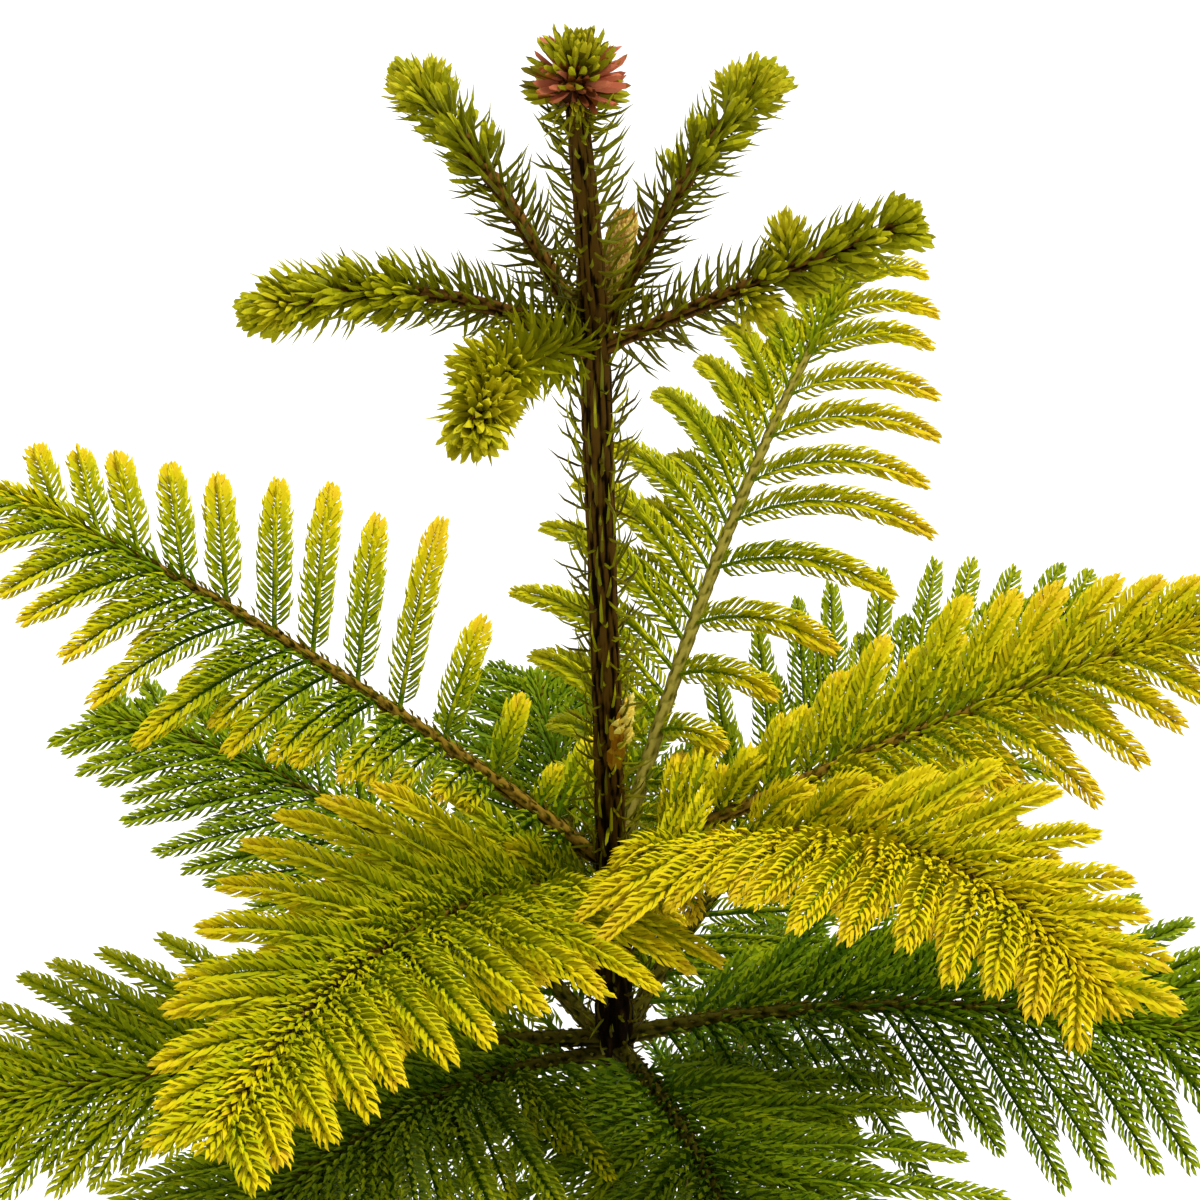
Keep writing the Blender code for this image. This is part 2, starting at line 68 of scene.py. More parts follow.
ROOT_SWELL = 1.15           # how much thicker a bough is where it leaves the trunk
STAGGER = 0.0075            # alternate boughs of a whorl leave the trunk this much higher or lower
HALF_CLEARANCE = 0.0080     # how far a twig's middle keeps from the edge of its mass's space
SHORTEST_TWIG = 0.026
SHRINK = 0.93               # how a twig without room is shortened, again and again
TWIG_STEP = 0.010           # spacing of the points that test a twig's room
STEM_STEPS = 40             # steps along a stem between the points that hold its space
FIRST_TWIG = 0.02           # how far beyond the bare limb the comb starts, as a share of the limb
LAST_TWIG = 0.955
FIRST_SHARE = 0.34          # share of a bough over which its first twigs come back to the rule
FIRST_LENGTH = 0.75         # length of the first twigs beside the longest
FULL_SHARE = 0.15           # share of a bough over which they reach it
TIP_LOSS = 0.74             # share of its length that a twig at the very tip lacks
END_SPRAY = 0.90            # where along a limb its end spray starts
TWIG_ROOT = 0.6             # a twig's radius at its root beside its limb's

# A bough's azimuth, reach and rise, the arch and sideways bend of its middle, the roll of its comb,
# its claim on shared space, the scale of its twigs, their droop beside its whorl's, how many degrees
# wider they open on its left and right, and how many more its first ones do, on the left or, where
# that is negative, on the right.
Bough = namedtuple("Bough", "azimuth reach rise arch bend roll claim scale droop left right first",
                   defaults=(0, 1.0, 1.0, 1.0, 0, 0, 0))

# ------ twigs beyond the source's
# A group of twigs: their length beside the rule's, how much more they droop, and how many degrees
# they rise above the comb, open wider and stray from the rule.
Group = namedtuple("Group", "scale sink lift wider unrest")
COMB = Group(1.0, 0.0, 0, 0, 3)             # the source's own twigs
FINER = Group(0.66, 0.10, 0, 0, 3)          # between those, just below them
COVER = Group(0.62, 0.30, 24, -26, 12)      # short ones that lean over the limb
FOOT_STEPS = (-1.1, -0.5)   # finer twigs before the comb's first, counted in the comb's own
FOOT_PLACE = -0.08          # how far before the comb they may stand, as a share of it

# How a bough is dressed: steps on the needle shades at foot and tip of its left twigs and its right
# ones, how many finer twigs it has left and right and how many over its limb, how many of its first
# twigs left and right cross the trunk at full length, where along the limb its own needles begin, and
# which of its whorl's barks it has.
Looks = namedtuple("Looks", "left right finer cover crossing clad bark",
                   defaults=((12, 12), 0, (0, 0), 0.5, 0))

# Stations of a needle: share of its length, share of its half width, share of its bulge.
FINE_NEEDLE = ((0.0, 0.0, 0.0), (0.20, 0.90, 0.50), (0.70, 0.94, 0.85), (1.0, 0.0, 0.0))
SLIM_NEEDLE = ((0.0, 0.0, 0.0), (0.52, 1.0, 0.9), (1.0, 0.0, 0.0))
LONG_NEEDLE = ((0.0, 0.0, 0.0), (0.18, 1.0, 0.7), (0.66, 0.78, 0.9), (1.0, 0.0, 0.0))
BLUNT_NEEDLE = ((0.0, 0.0, 0.0), (0.30, 0.90, 0.7), (0.78, 0.88, 0.6), (1.0, 0.0, 0.0))
SCALE_NEEDLE = ((0.0, 0.0, 0.0), (0.25, 0.80, 0.6), (0.60, 1.0, 0.9), (0.88, 0.72, 0.6), (1.0, 0.0, 0.0))
SLIM_WIDTH = 1.25           # half width of a slim needle beside a fine needle's

# Each whorl is the source's: height on the trunk, radii of a bough at the trunk and at its tip, share
# of the reach that is bare limb, twigs on a side, longest twig, where along the bough twigs start to
# shorten, angle of twigs to the stem at foot and tip, and their raise and droop. Then come the pitch,
# length, half width, opening and stations of its needles, its barks and how each bough is dressed.
WHORLS = {
    "upper": dict(
        height=0.806, root_radius=0.0041, tip_radius=0.0013, bare=0.10, twigs=12, longest=0.140,
        taper_from=0.32, spread=(74, 38), raised=24, droop=0.30,
        boughs=(
            Bough(7, 0.332, 0.155, 0.018, -0.008, -6, 0.9, 0.90, 1.0, -14, -4),
            Bough(65, 0.358, 0.196, 0.028, 0.007, 10, 1.2, 1.18, 1.8, -18, 2),
            Bough(160, 0.344, 0.168, 0.020, 0.001, 8),
            Bough(239, 0.331, 0.156, 0.032, -0.020, 2, 1.6, 0.84, 1.0, 0, -6, 32),
            Bough(314, 0.312, 0.165, 0.049, 0.025, 0, 0.9, 0.80, 1.0, 8, 0, -30),
        ),
        pitch=0.00090, needle_length=0.0152, half_width=0.00118, needle_opening=40,
        stations=FINE_NEEDLE, barks=("upper", "pale"),
        looks=(
            Looks((4.3, 8.4), (4.6, 8.6), cover=4, clad=0.45),
            Looks((3.8, 6.6), (3.8, 8.2), (12, 0), clad=0.75, bark=1),
            Looks((2.0, 8.3), (2.8, 8.8), (12, 0), clad=0.66),
            Looks((3.6, 7.9), (3.5, 8.0), (24, 24), 10, (3.6, 2.0), 0.08),
            Looks((5.2, 7.9), (5.2, 7.9), (24, 24), 9, (0, 2.6), 0.08),
        ),
    ),
    "middle": dict(
        height=0.660, root_radius=0.0048, tip_radius=0.0014, bare=0.12, twigs=12, longest=0.138,
        taper_from=0.48, spread=(52, 34), raised=4, droop=0.14,
        boughs=(
            Bough(350, 0.379, 0.064, 0.022, 0.012, -3, 1.0, 1.0, 1.0, 0, 9),
            Bough(41, 0.400, 0.107, 0.022, 0.034, -20, 1.0, 1.05),
            Bough(100, 0.310, 0.000, 0.016, 0.000),
            Bough(148, 0.385, 0.075, 0.032, -0.020, 0, 1.0, 0.90),
            Bough(194, 0.385, 0.052, 0.012, -0.002, 8, 0.9),
            Bough(227, 0.384, 0.071, 0.045, -0.019, -12, 1.5, 1.0, 1.0, 0, 0, 24),
            Bough(283, 0.369, 0.087, 0.033, 0.017, 0, 1.5, 1.08, 1.0, 20, 8, -36),
        ),
        pitch=0.00120, needle_length=0.0152, half_width=0.00124, needle_opening=39,
        stations=FINE_NEEDLE, barks=("middle",),
        looks=(
            Looks((1.2, 4.0), (1.2, 4.2), (24, 12), 6, (2.5, 2.5), 0.25),
            Looks((2.5, 4.6), (2.5, 4.6)),
            Looks((1.8, 3.8), (1.8, 3.8)),
            Looks((1.9, 4.4), (1.9, 4.4)),
            Looks((2.9, 5.4), (2.9, 5.4), (24, 24), 8, (2.5, 2.5), 0.20),
            Looks((1.7, 5.5), (1.7, 5.7), (24, 24), 12, (3.6, 3.6), 0.14),
            Looks((1.5, 4.1), (1.5, 4.1), (24, 24), 14, (3.6, 3.6), 0.10),
        ),
    ),
    "lower": dict(
        height=0.300, root_radius=0.0058, tip_radius=0.0015, bare=0.15, twigs=10, longest=0.138,
        taper_from=0.42, spread=(54, 36), raised=-2, droop=0.12,
        boughs=(
            Bough(358, 0.405, 0.040, 0.030, 0.008), Bough(70, 0.395, 0.048, 0.028, -0.010),
            Bough(142, 0.400, 0.040, 0.032, 0.012), Bough(214, 0.410, 0.046, 0.030, -0.008),
            Bough(286, 0.398, 0.047, 0.028, 0.010),
        ),
        pitch=0.00120, needle_length=0.0140, half_width=0.00110, needle_opening=42,
        stations=SLIM_NEEDLE, barks=("lower",),
        looks=(Looks((0.4, 2.4), (0.4, 2.4), (10, 10), 3),) * 5,
    ),
}
FULL_PILE = 110000          # triangles after which a whorl's needles go on in another piece
FOOT_LIGHTER = 0.35         # how much of a twig's range of shades its foot gains along the limb
LIGHTER_FROM = 0.4          # where along the limb that starts

# The top whorl's shoots: azimuth, reach, rise, arch, bend, and their side shoots as
# (place along the shoot, turn from it in degrees, raise in degrees, length).
TOP_SHOOTS = (
    (0, 0.136, 0.068, 0.004, -0.004, ((0.62, 70, 62, 0.018), (0.46, -60, -30, 0.016))),
    (54, 0.135, 0.074, 0.015, 0.000, ((0.82, 34, 24, 0.015), (0.84, -34, 20, 0.015))),
    (129, 0.137, 0.075, 0.022, 0.005, ((0.82, 34, 24, 0.015), (0.84, -34, 20, 0.015))),
    (188, 0.150, 0.034, 0.020, -0.001, ((0.86, 34, 30, 0.014),)),
    (250, 0.138, 0.053, 0.010, -0.012, ((0.52, -40, 10, 0.022), (0.80, 40, 16, 0.014))),
)
# How crowded each shoot's needles are, and how much lighter than its neighbours'.
SHOOT_LOOKS = ((1.1, 0.0), (1.1, 0.0), (1.1, 0.0), (1.5, 0.5), (1.8, 1.6))
SHOOT_ROOT_RADIUS = 0.0032
SHOOT_TIP_RADIUS = 0.0026
SHOOT_SPAN = (0.07, 0.90)   # where along a shoot its thin needles stand
SHOOT_PITCH = 0.00072
SHOOT_BUDS = 12             # budlets beside a shoot that isn't crowded
SHOOT_BUD_SPAN = (0.50, 0.94)
TIP_BUDS = 6
TIP_BUD_PLACE = 0.93
TIP_BUD_SPREAD = 0.42       # how far they lean out from the shoot, as a slope

# A budlet: its length, how many scales it has, their half width, and how far its lowest ones open.
Budlet = namedtuple("Budlet", "length scales half_width opening")
SHOOT_BUDLET = Budlet(0.0200, 8, 0.00185, 22)
TIP_BUDLET = Budlet(0.0180, 6, 0.00200, 18)

# The terminal bud's rows of budlets: height, count, opening in degrees, length; then the dark one and
# the light one at its front: height, direction, budlet, shades at foot and tip.
BUD_ROWS = ((0.004, 8, 94, 0.023), (0.008, 7, 66, 0.025), (0.011, 6, 40, 0.024), (0.013, 3, 8, 0.021))
FRONT_BUDLETS = (
    (0.008, (-0.10, -0.60, 0.80), Budlet(0.017, 6, 0.0022, 16), (0.0, 3.2)),
    (0.002, (0.10, -0.95, 0.10), Budlet(0.013, 8, 0.0012, 16), (3.0, 6.6)),
)
BUD_CORE = (0.026, 0.0072)  # length, half width
COLLAR_COUNT = 40           # recurved needles below the terminal bud
COLLAR_SPAN = (-0.012, 0.003)           # where they stand, from the leader's tip

SIDE_BUD_HEIGHT = 0.054     # dormant bud behind the leader, at the top whorl
SIDE_BUD_RADIUS = 0.0066
SIDE_BUD_AZIMUTH = 88
SIDE_BUD_LEAN = 0.27        # how far the dormant bud leans towards +X, as a slope
SIDE_BUD_STALK = 0.0022
SIDE_BUD_GIRTH = ((-0.05, 0.35), (0.18, 0.85), (0.5, 1.0), (0.82, 0.95), (0.95, 0.55))  # of its radius
SIDE_BUD_SCALES = 420

# The torn strip of bark: how many scales, between which heights and turns, how many degrees they
# lean, how far they stand out as a slope, their length, and their step on the cream shades.
RUST_WOOD = (18, 0.892, 0.926, -80, -35, 6, 0.10, 0.016, 0.0)
CREAM_SCALES = (34, 0.911, 0.934, -60, 12, 28, 0.9, 0.011, 2.0)

GOLDEN_TURN = math.radians(137.508)

# ------ needles of each kind
# Length and opening in degrees as profiles of (place along the line, value), half width, stations,
# how far a needle curves in, how many degrees it strays, how round its line they stand (0 is flat),
# and how much they turn up.
Dress = namedtuple("Dress", "length half_width opening stations bulge unrest roundness lift",
                   defaults=(3, 1.0, 0.0))
SHOOT_NEEDLES = Dress(((0.0, 0.0235), (1.0, 0.0205)), 0.00108, ((0.1, 66), (0.8, 50)), LONG_NEEDLE,
                      0.09, 13, lift=0.20)
SIDE_SHOOT_NEEDLES = Dress(((0.0, 0.0155), (0.7, 0.0145), (1.0, 0.0105)), 0.00135,
                           ((0.0, 56), (0.6, 42), (1.0, 10)), BLUNT_NEEDLE, 0.08, 7, lift=0.08)
LEAF_BASE_NEEDLES = Dress(((0.0, 0.0062), (1.0, 0.0085)), 0.0, ((0.0, 24), (1.0, 36)), SLIM_NEEDLE,
                          0.10, 9)
LEADER_NEEDLES = Dress(((1.1, 0.0240), (1.29, 0.0215)), 0.00098, ((1.1, 64), (1.29, 52)), LONG_NEEDLE,
                       0.12, 11, lift=0.10)
OLD_NEEDLES = Dress(((0.62, 0.0160), (0.84, 0.0210), (1.16, 0.0230)), 0.00085, ((0.7, 54), (1.16, 46)),
                    LONG_NEEDLE, 0.12, 18)
CLINGING_NEEDLES = Dress(((0.7, 0.0230), (1.16, 0.0260)), 0.00085, ((0.0, 15),), LONG_NEEDLE, 0.10, 10)
COLLAR_NEEDLES = Dress(((1.2, 0.0135), (1.3, 0.0120)), 0.00085, ((1.2, 88), (1.3, 80)), LONG_NEEDLE,
                       0.14, 12, lift=-0.30)
DRY_SCALES = Dress(((0.0, 0.0062), (1.0, 0.0050)), 0.0011, ((0.0, 16), (1.0, 10)), BLUNT_NEEDLE, 0.10)

# A twig's and a limb's needles take their size from the whorl. These are shares of it, apart from
# LIMB_OPENINGS, which are degrees. Leaf bases take their half width from it too.
TWIG_LENGTHS = ((0.0, 0.8), (0.15, 1.0), (0.72, 0.92), (1.0, 0.46))
TWIG_OPENINGS = ((0.0, 1.0), (0.5, 0.94), (0.85, 0.8), (1.0, 0.36))
LIMB_LENGTHS = ((0.0, 1.0), (0.9, 1.0), (1.0, 0.8))
LIMB_OPENINGS = ((0.0, 42), (0.9, 36), (1.0, 26))
TWIG_SEAT = 0.0010          # how far from a twig's middle its needles root, doubled
LEAF_BASE_PITCH = 0.0011
LEAF_BASE_SEAT = 1.7        # the same for a limb's leaf bases, beside its radius
TRUNK_SEAT = 1.6            # and for the trunk's needles, beside the trunk's
CLINGING_SEAT = 2.1

# Where round a twig its needles stand in turn: two ranks beside it, two above those, one on top.
RANKS = np.radians((-4, 184, 34, 146, 90))
CORNERS = ((1.0, -0.4), (-1.0, -0.4), (0.0, 0.8))      # of a needle: flank, keel

# ------ bark
TRUNK_AROUND, TRUNK_RINGS = 52, 560
LIMB_AROUND, LIMB_RING_PITCH = 14, 0.0018
TRUNK_RELIEF = 0.0020       # depth of the trunk's relief where its radius is RELIEF_RADIUS
RELIEF_RADIUS = 0.010
COARSE_CUSHIONS = (9, 0.030, 9.0)           # columns round the trunk, pitch, columns' turns per metre
FINE_CUSHIONS = (16, 0.019, -7.0)
COARSE_SHARE = 0.65
WANDER = ((0.16, 47, 3), (0.10, 113, -2))   # swing of the cushions' columns, waves upwards and round
TRUNK_TONE_AND_PAINTED_SHADE = ((0.62, 0.20), (0.86, 0.95), (1.15, 1.0), (1.20, 1.3))    # height, light on the bark: painted shade low down, most of all below the middle whorl where its boughs shade the trunk; lighter on the leader
LIMB_COLUMNS = 6
LimbBark = namedtuple("LimbBark", "stop pitch depth")
BOUGH_BARK = LimbBark(0.955, 0.0100, 0.0015)
SHOOT_BARK = LimbBark(0.96, 0.0090, 0.0020)
LIMB_START = 0.7            # where in the trunk a limb's bark starts, as a share of its radius
SWELL_SHARE = 0.03          # share of a limb over which its swollen root thins
LEAF_BASES = 0.0002         # how much old leaf bases thicken a limb

# ------ colours
# Plain base colours of the needles, from the deepest green to gold.
NEEDLE_SHADES = (
    (0.016, 0.048, 0.0004), (0.028, 0.074, 0.0005), (0.050, 0.112, 0.0006), (0.090, 0.163, 0.0008),
    (0.156, 0.230, 0.0009), (0.256, 0.316, 0.001), (0.390, 0.404, 0.0014), (0.540, 0.494, 0.002),
    (0.670, 0.545, 0.003), (0.720, 0.520, 0.010),
)
# The top whorl's own: brown, olive, green-gold and yellow-green.
OLIVE_SHADES = (
    (0.048, 0.026, 0.0008), (0.095, 0.064, 0.0010), (0.130, 0.115, 0.0010), (0.180, 0.185, 0.0012),
    (0.270, 0.275, 0.002), (0.400, 0.385, 0.004), (0.540, 0.480, 0.010),
)
# Bud scales: dark brown, red brown, salmon, rust, olive, yellow-green.
SCALE_SHADES = (
    (0.040, 0.012, 0.003), (0.160, 0.042, 0.009), (0.520, 0.150, 0.070), (0.300, 0.110, 0.012),
    (0.170, 0.140, 0.004), (0.330, 0.320, 0.006), (0.500, 0.440, 0.012),
)
# Dry scales of the dormant bud: tan, sand and brown, made lighter than their own colour as painted light,
# since the leader shades the bud; the torn strip's go from rust to cream.
DRY_SHADES_WITH_PAINTED_LIGHT = ((0.850, 0.520, 0.110), (0.950, 0.660, 0.180), (0.600, 0.330, 0.060), (0.900, 0.700, 0.120))
CREAM_SHADES = ((0.300, 0.120, 0.003), (0.420, 0.220, 0.008), (0.850, 0.640, 0.070), (0.950, 0.800, 0.160))
# Barks: colours in the furrows, between and on the crests, and the scale of their grain. The dark furrows
# are painted shade and the light crests painted highlights.
BARKS = {
    "trunk": ((0.0014, 0.0008, 0.0002), (0.010, 0.0045, 0.0006), (0.100, 0.050, 0.0055), 260),
    "shoot": ((0.006, 0.003, 0.001), (0.050, 0.022, 0.003), (0.190, 0.090, 0.012), 320),
    "upper": ((0.010, 0.006, 0.0005), (0.070, 0.040, 0.003), (0.250, 0.150, 0.013), 320),
    "pale": ((0.035, 0.034, 0.002), (0.150, 0.128, 0.012), (0.320, 0.265, 0.040), 320),
    "middle": ((0.003, 0.003, 0.0003), (0.024, 0.022, 0.002), (0.085, 0.072, 0.006), 320),
    "lower": ((0.020, 0.015, 0.003), (0.060, 0.045, 0.009), (0.130, 0.100, 0.022), 320),
}

CAMERA_PLACE = (0.0, -0.907, 1.825)
CAMERA_TILT = 48            # degrees up from straight down
CAMERA_FIELD = 27           # degrees across the frame
FLOOR_REACH = 60.0
FLOOR_COLOUR = (0.93, 0.93, 0.93)
SKY_STRENGTH = 0.60


# ------ arrays
def unit(vectors):
    return vectors / np.linalg.norm(vectors, axis=-1, keepdims=True)


def across(tangents):
    """Level side vectors and the normals above lines that run along the tangents."""
    sides = unit(np.cross(UP, tangents))
    return sides, np.cross(tangents, sides)


def turned(side, above, turn):
    """Direction straight out from a line, at a turn round it."""
    return math.cos(turn) * side + math.sin(turn) * above


def column(values):
    return np.asarray(values, dtype=float)[..., None]


def value_at(places, profile):
    return np.interp(places, *zip(*profile))


def scaled(profile, size):
    return tuple((place, share * size) for place, share in profile)


def ring_angles(around):
    return 2 * math.pi * np.arange(around) / around


def spaced(start, stop, count):
    """Evenly spaced places, half a pitch in from either end."""
    return start + (stop - start) * (np.arange(count) + 0.5) / count


# What bark or needles grow on: points, tangents, sides, normals, radii and places along the line.
Line = namedtuple("Line", "centres tangents sides aboves radii places")


def straight_line(root, direction, places, length, radii):
    tangents = np.tile(direction, (len(places), 1))
    return Line(root + direction * column(places * length), tangents, *across(tangents), radii, places)


class Pile:
    """Points, triangles and shades of one joined piece, gathered as arrays."""

    def __init__(self):
        self.points, self.faces, self.shades, self.count = [], [], [], 0

    def add(self, points, faces, shades):
        self.points.append(points)
        self.faces.append(faces + self.count)
        self.shades.append(shades)
        self.count += len(points)

    def triangles(self):
        return sum(len(faces) for faces in self.faces)

    def build(self, name, palette, slot, nodes=()):
        shades = np.clip(np.rint(np.concatenate(self.shades)), 0, len(palette) - 1).astype(np.int32)
        mesh = new_mesh(name, self.points, np.concatenate(self.faces), palette, shades)
        add_piece(name, mesh, nodes)


def new_mesh(name, points, faces, materials, choice):
    """A mesh from arrays of points; the choice is each face's material."""
    mesh = bpy.data.meshes.new(name)
    mesh.from_pydata(np.concatenate(points), [], faces)
    for material in materials:
        mesh.materials.append(material)
    mesh.polygons.foreach_set("material_index", choice)
    return mesh


def add_object(name, data):
    item = bpy.data.objects.new(name, data)
    bpy.context.scene.collection.objects.link(item)
    return item


def add_piece(name, mesh, nodes=()):
    mesh.update()
    piece = add_object(name, mesh)
    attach(piece, BODY)
    if nodes:
        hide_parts(*nodes)


def numbered(name, items):
    return [f"{name}_{k + 1}" for k in range(len(items))]


# ------ materials
def new_material(name, roughness, specular):
    material = bpy.data.materials.new(name)
    material.use_nodes = True
    shader = material.node_tree.nodes["Principled BSDF"]
    shader.inputs["Roughness"].default_value = roughness
    shader.inputs["Specular IOR Level"].default_value = specular
    return material, shader


def plain_material(name, colour, roughness, specular):
    material, shader = new_material(name, roughness, specular)
    shader.inputs["Base Color"].default_value = (*colour, 1.0)
    material.diffuse_color = (*colour, 1.0)
    return material


def palette(name, shades):
    return [plain_material(f"{name}_{k + 1}", shade, 0.55, 0.05) for k, shade in enumerate(shades)]


def bark_material(name, furrow_painted_shade, middle, crest, grain):
    """Bark coloured by its relief: painted shade in the dark furrows, painted highlights on the crests of
    the leaf cushions.
    """
    material, shader = new_material(name, 0.85, 0.03)
    relief, place, stretch, noise, blend, ramp, bump = (
        material.node_tree.nodes.new("ShaderNode" + kind)
        for kind in ("Attribute", "TexCoord", "Mapping", "TexNoise", "Math", "ValToRGB", "Bump"))
    relief.attribute_name = "relief"
    stretch.inputs["Scale"].default_value = (1.0, 1.0, 0.22)
    noise.inputs["Scale"].default_value = grain
    noise.inputs["Detail"].default_value = 6.0
    blend.operation = "MULTIPLY_ADD"
    blend.inputs[1].default_value = 0.75
    # The relief drives the colour: painted shade in the furrows, painted highlights on the crests.
    ramp.color_ramp.elements[0].position = 0.30
    ramp.color_ramp.elements[0].color = (*furrow_painted_shade, 1.0)
    ramp.color_ramp.elements[1].color = (*crest, 1.0)
    ramp.color_ramp.elements.new(0.66).color = (*middle, 1.0)
    bump.inputs["Strength"].default_value = 0.5
    bump.inputs["Distance"].default_value = 0.0006
    for giver, output, taker, socket in (
            (place, "Object", stretch, "Vector"), (stretch, "Vector", noise, "Vector"),
            (noise, "Fac", blend, 0), (relief, "Fac", blend, 2), (blend, "Value", ramp, "Fac"),
            (ramp, "Color", shader, "Base Color"), (noise, "Fac", bump, "Height"),
            (bump, "Normal", shader, "Normal")):
        material.node_tree.links.new(giver.outputs[output], taker.inputs[socket])
    return material


# ------ bark relief
def leaf_cushions(angles, along, columns, pitch, twist=0.0):
    """Relief from 0 to 1 of old leaf bases: upright ridges that swell and end in a step."""
    place = angles / (2 * math.pi) * columns + along * twist
    index = np.floor(place)
    off = 2 * (place - index) - 1
    golden_share = 0.618
    row = along / pitch + (index % columns) * golden_share
    rise = row - np.floor(row)
    width = 0.50 + 0.48 * np.sin(math.pi * rise ** 0.7)
    body = np.clip(1 - (off / width) ** 2, 0, 1) ** 0.6
    step = 0.12
    crest = np.sqrt(rise) * np.clip((1 - rise) / step, 0, 1)
    foot = 0.45
    return body * (foot + (1 - foot) * crest)


def bark_tube(line, relief, depth):
    """Rings of a bark tube, pushed out by the relief; also the faces between them and its caps."""
    rings, around = relief.shape
    angles = ring_angles(around)
    reach = column(line.radii) + depth * (relief - 0.5)
    outward = (np.cos(angles)[None, :, None] * line.sides[:, None, :]
               + np.sin(angles)[None, :, None] * line.aboves[:, None, :])
    points = (line.centres[:, None, :] + outward * reach[..., None]).reshape(-1, 3)
    i, j = np.meshgrid(np.arange(rings - 1), np.arange(around), indexing="ij")
    here, beside = i * around + j, i * around + (j + 1) % around
    faces = np.stack([here, beside, beside + around, here + around], axis=-1).reshape(-1, 4).tolist()
    last = (rings - 1) * around
    faces.append(list(range(around))[::-1])
    faces.append(list(range(last, last + around)))
    return points, faces


def bark_piece(name, tubes, barks, nodes, choice):
    """One piece from several tubes of (points, faces, relief); the choice is each tube's bark."""
    points, faces, relief, slots, count = [], [], [], [], 0
    for (tube_points, tube_faces, tube_relief), bark in zip(tubes, choice):
        points.append(tube_points)
        faces += [[k + count for k in face] for face in tube_faces]
        relief.append(tube_relief.ravel())
        slots += [bark] * len(tube_faces)
        count += len(tube_points)
    mesh = new_mesh(name, points, faces, barks, slots)
    mesh.attributes.new("relief", "FLOAT", "POINT").data.foreach_set("value", np.concatenate(relief))
    mesh.shade_smooth()
    add_piece(name, mesh, nodes)


# ------ trunk
def trunk_radius(z):
    return value_at(z, TRUNK_PROFILE)


def trunk_axis(z):
    low = SWEEP * np.sin(math.pi * np.minimum(z, TOP_WHORL) / SWEEP_NODE)
    share = np.maximum(z - TOP_WHORL, 0) / (TRUNK_TOP - TOP_WHORL)
    return low - (LEADER_LEAN + low) * share ** 1.5


def trunk_middle(z):
    z = np.asarray(z, dtype=float)
    return np.stack([trunk_axis(z), np.zeros_like(z), z], axis=-1)


def trunk_line(z, girth=TRUNK_SEAT):
    """The trunk as a line; the girth is beside its radius."""
    along_x, along_y, upward = np.tile(np.eye(3)[:, None, :], (1, len(z), 1))
    return Line(trunk_middle(z), upward, along_x, along_y, girth * trunk_radius(z), z)


def make_trunk(bark):
    z = np.linspace(0.0, TRUNK_TOP, TRUNK_RINGS)
    angles = ring_angles(TRUNK_AROUND)
    wander = sum(swing * np.sin(up * column(z) + waves * angles) for swing, up, waves in WANDER)
    coarse = leaf_cushions(angles + wander, column(z), *COARSE_CUSHIONS)
    fine = leaf_cushions(angles - wander, column(z), *FINE_CUSHIONS)
    relief = COARSE_SHARE * coarse + (1 - COARSE_SHARE) * fine
    lobes = 1 - LOBE_DEPTH + LOBE_DEPTH * np.cos(FLARE_LOBES * angles)
    flare = FLARE_SPREAD * lobes * np.exp(-column(z) / FLARE_HEIGHT)
    depth = TRUNK_RELIEF * np.clip(column(trunk_radius(z)) / RELIEF_RADIUS, 0.45, 1.2)
    points, faces = bark_tube(trunk_line(z, 1.0), relief + flare / depth, depth)
    points[:, 2] = np.clip(points[:, 2], 0.0, None)
    # Painted shade: the bark's colour is darkened low on the trunk, where the boughs above shade it, and
    # lightened on the leader.
    shade = relief * column(value_at(z, TRUNK_TONE_AND_PAINTED_SHADE))
    bark_piece("trunk_with_bark", [(points, faces, shade)], [bark], ["trunk"], [0])


# ------ limbs
class Limb:
    """A bough and the stem that carries on from it, as one arched line from the trunk's axis."""

    def __init__(self, height, azimuth, reach, rise, arch, bend, root_radius, tip_radius):
        turn = math.radians(azimuth)
        self.out = np.array([math.cos(turn), math.sin(turn), 0.0])
        self.sideways = np.cross(UP, self.out)
        self.foot = trunk_middle(height)
        self.height, self.reach, self.rise, self.arch, self.bend = height, reach, rise, arch, bend
        self.root_radius, self.tip_radius = root_radius, tip_radius

    def points(self, t):
        t = column(t)
        bow = 4 * t * (1 - t)
        return (self.foot + self.out * self.reach * t + self.sideways * self.bend * bow
                + UP * (self.rise * t + self.arch * bow))

    def tangents(self, t):
        step = 0.01
        t = np.asarray(t, dtype=float)
        return unit(self.points(t + step) - self.points(t - step))

    def radius(self, t):
        return self.root_radius + (self.tip_radius - self.root_radius) * t

    def length(self):
        return float(np.linalg.norm(self.points(1.0) - self.points(0.0)))

    def line(self, t, girth=1.0):
        """The limb as a line; the girth is beside its radius."""
        tangents = self.tangents(t)
        return Line(self.points(t), tangents, *across(tangents), girth * self.radius(t), t)


def limb_tube(limb, bark):
    """Bark of a limb from inside the trunk's skin to where its last spray hides it."""
    start = LIMB_START * float(trunk_radius(limb.height)) / limb.reach
    t = np.linspace(start, bark.stop, int((bark.stop - start) * limb.length() / LIMB_RING_PITCH))
    relief = leaf_cushions(ring_angles(LIMB_AROUND), column(t * limb.length()), LIMB_COLUMNS, bark.pitch)
    swell = 1 + (ROOT_SWELL - 1) * np.exp(-(t - start) / SWELL_SHARE)
    points, faces = bark_tube(limb.line(t)._replace(radii=limb.radius(t) * swell + LEAF_BASES),
                              relief, bark.depth)
    return points, faces, relief


# ------ needles
def needle_faces(stations):
    """Triangles of one needle and, for each, how far along it stands."""
    faces, places, first = [], [], 0
    for (_, width, _), (share, next_width, _) in zip(stations, stations[1:]):
        size = 3 if width else 1
        following = first + size
        for k in range(3):
            m = (k + 1) % 3
            if not width:
                faces.append((first, following + m, following + k))
                places.append(share)
            elif not next_width:
                faces.append((first + k, first + m, following))
                places.append(share)
            else:
                faces += [(first + k, first + m, following + m), (first + k, following + m, following + k)]
                places += [share, share]
        first = following
    return np.array(faces), np.array(places)


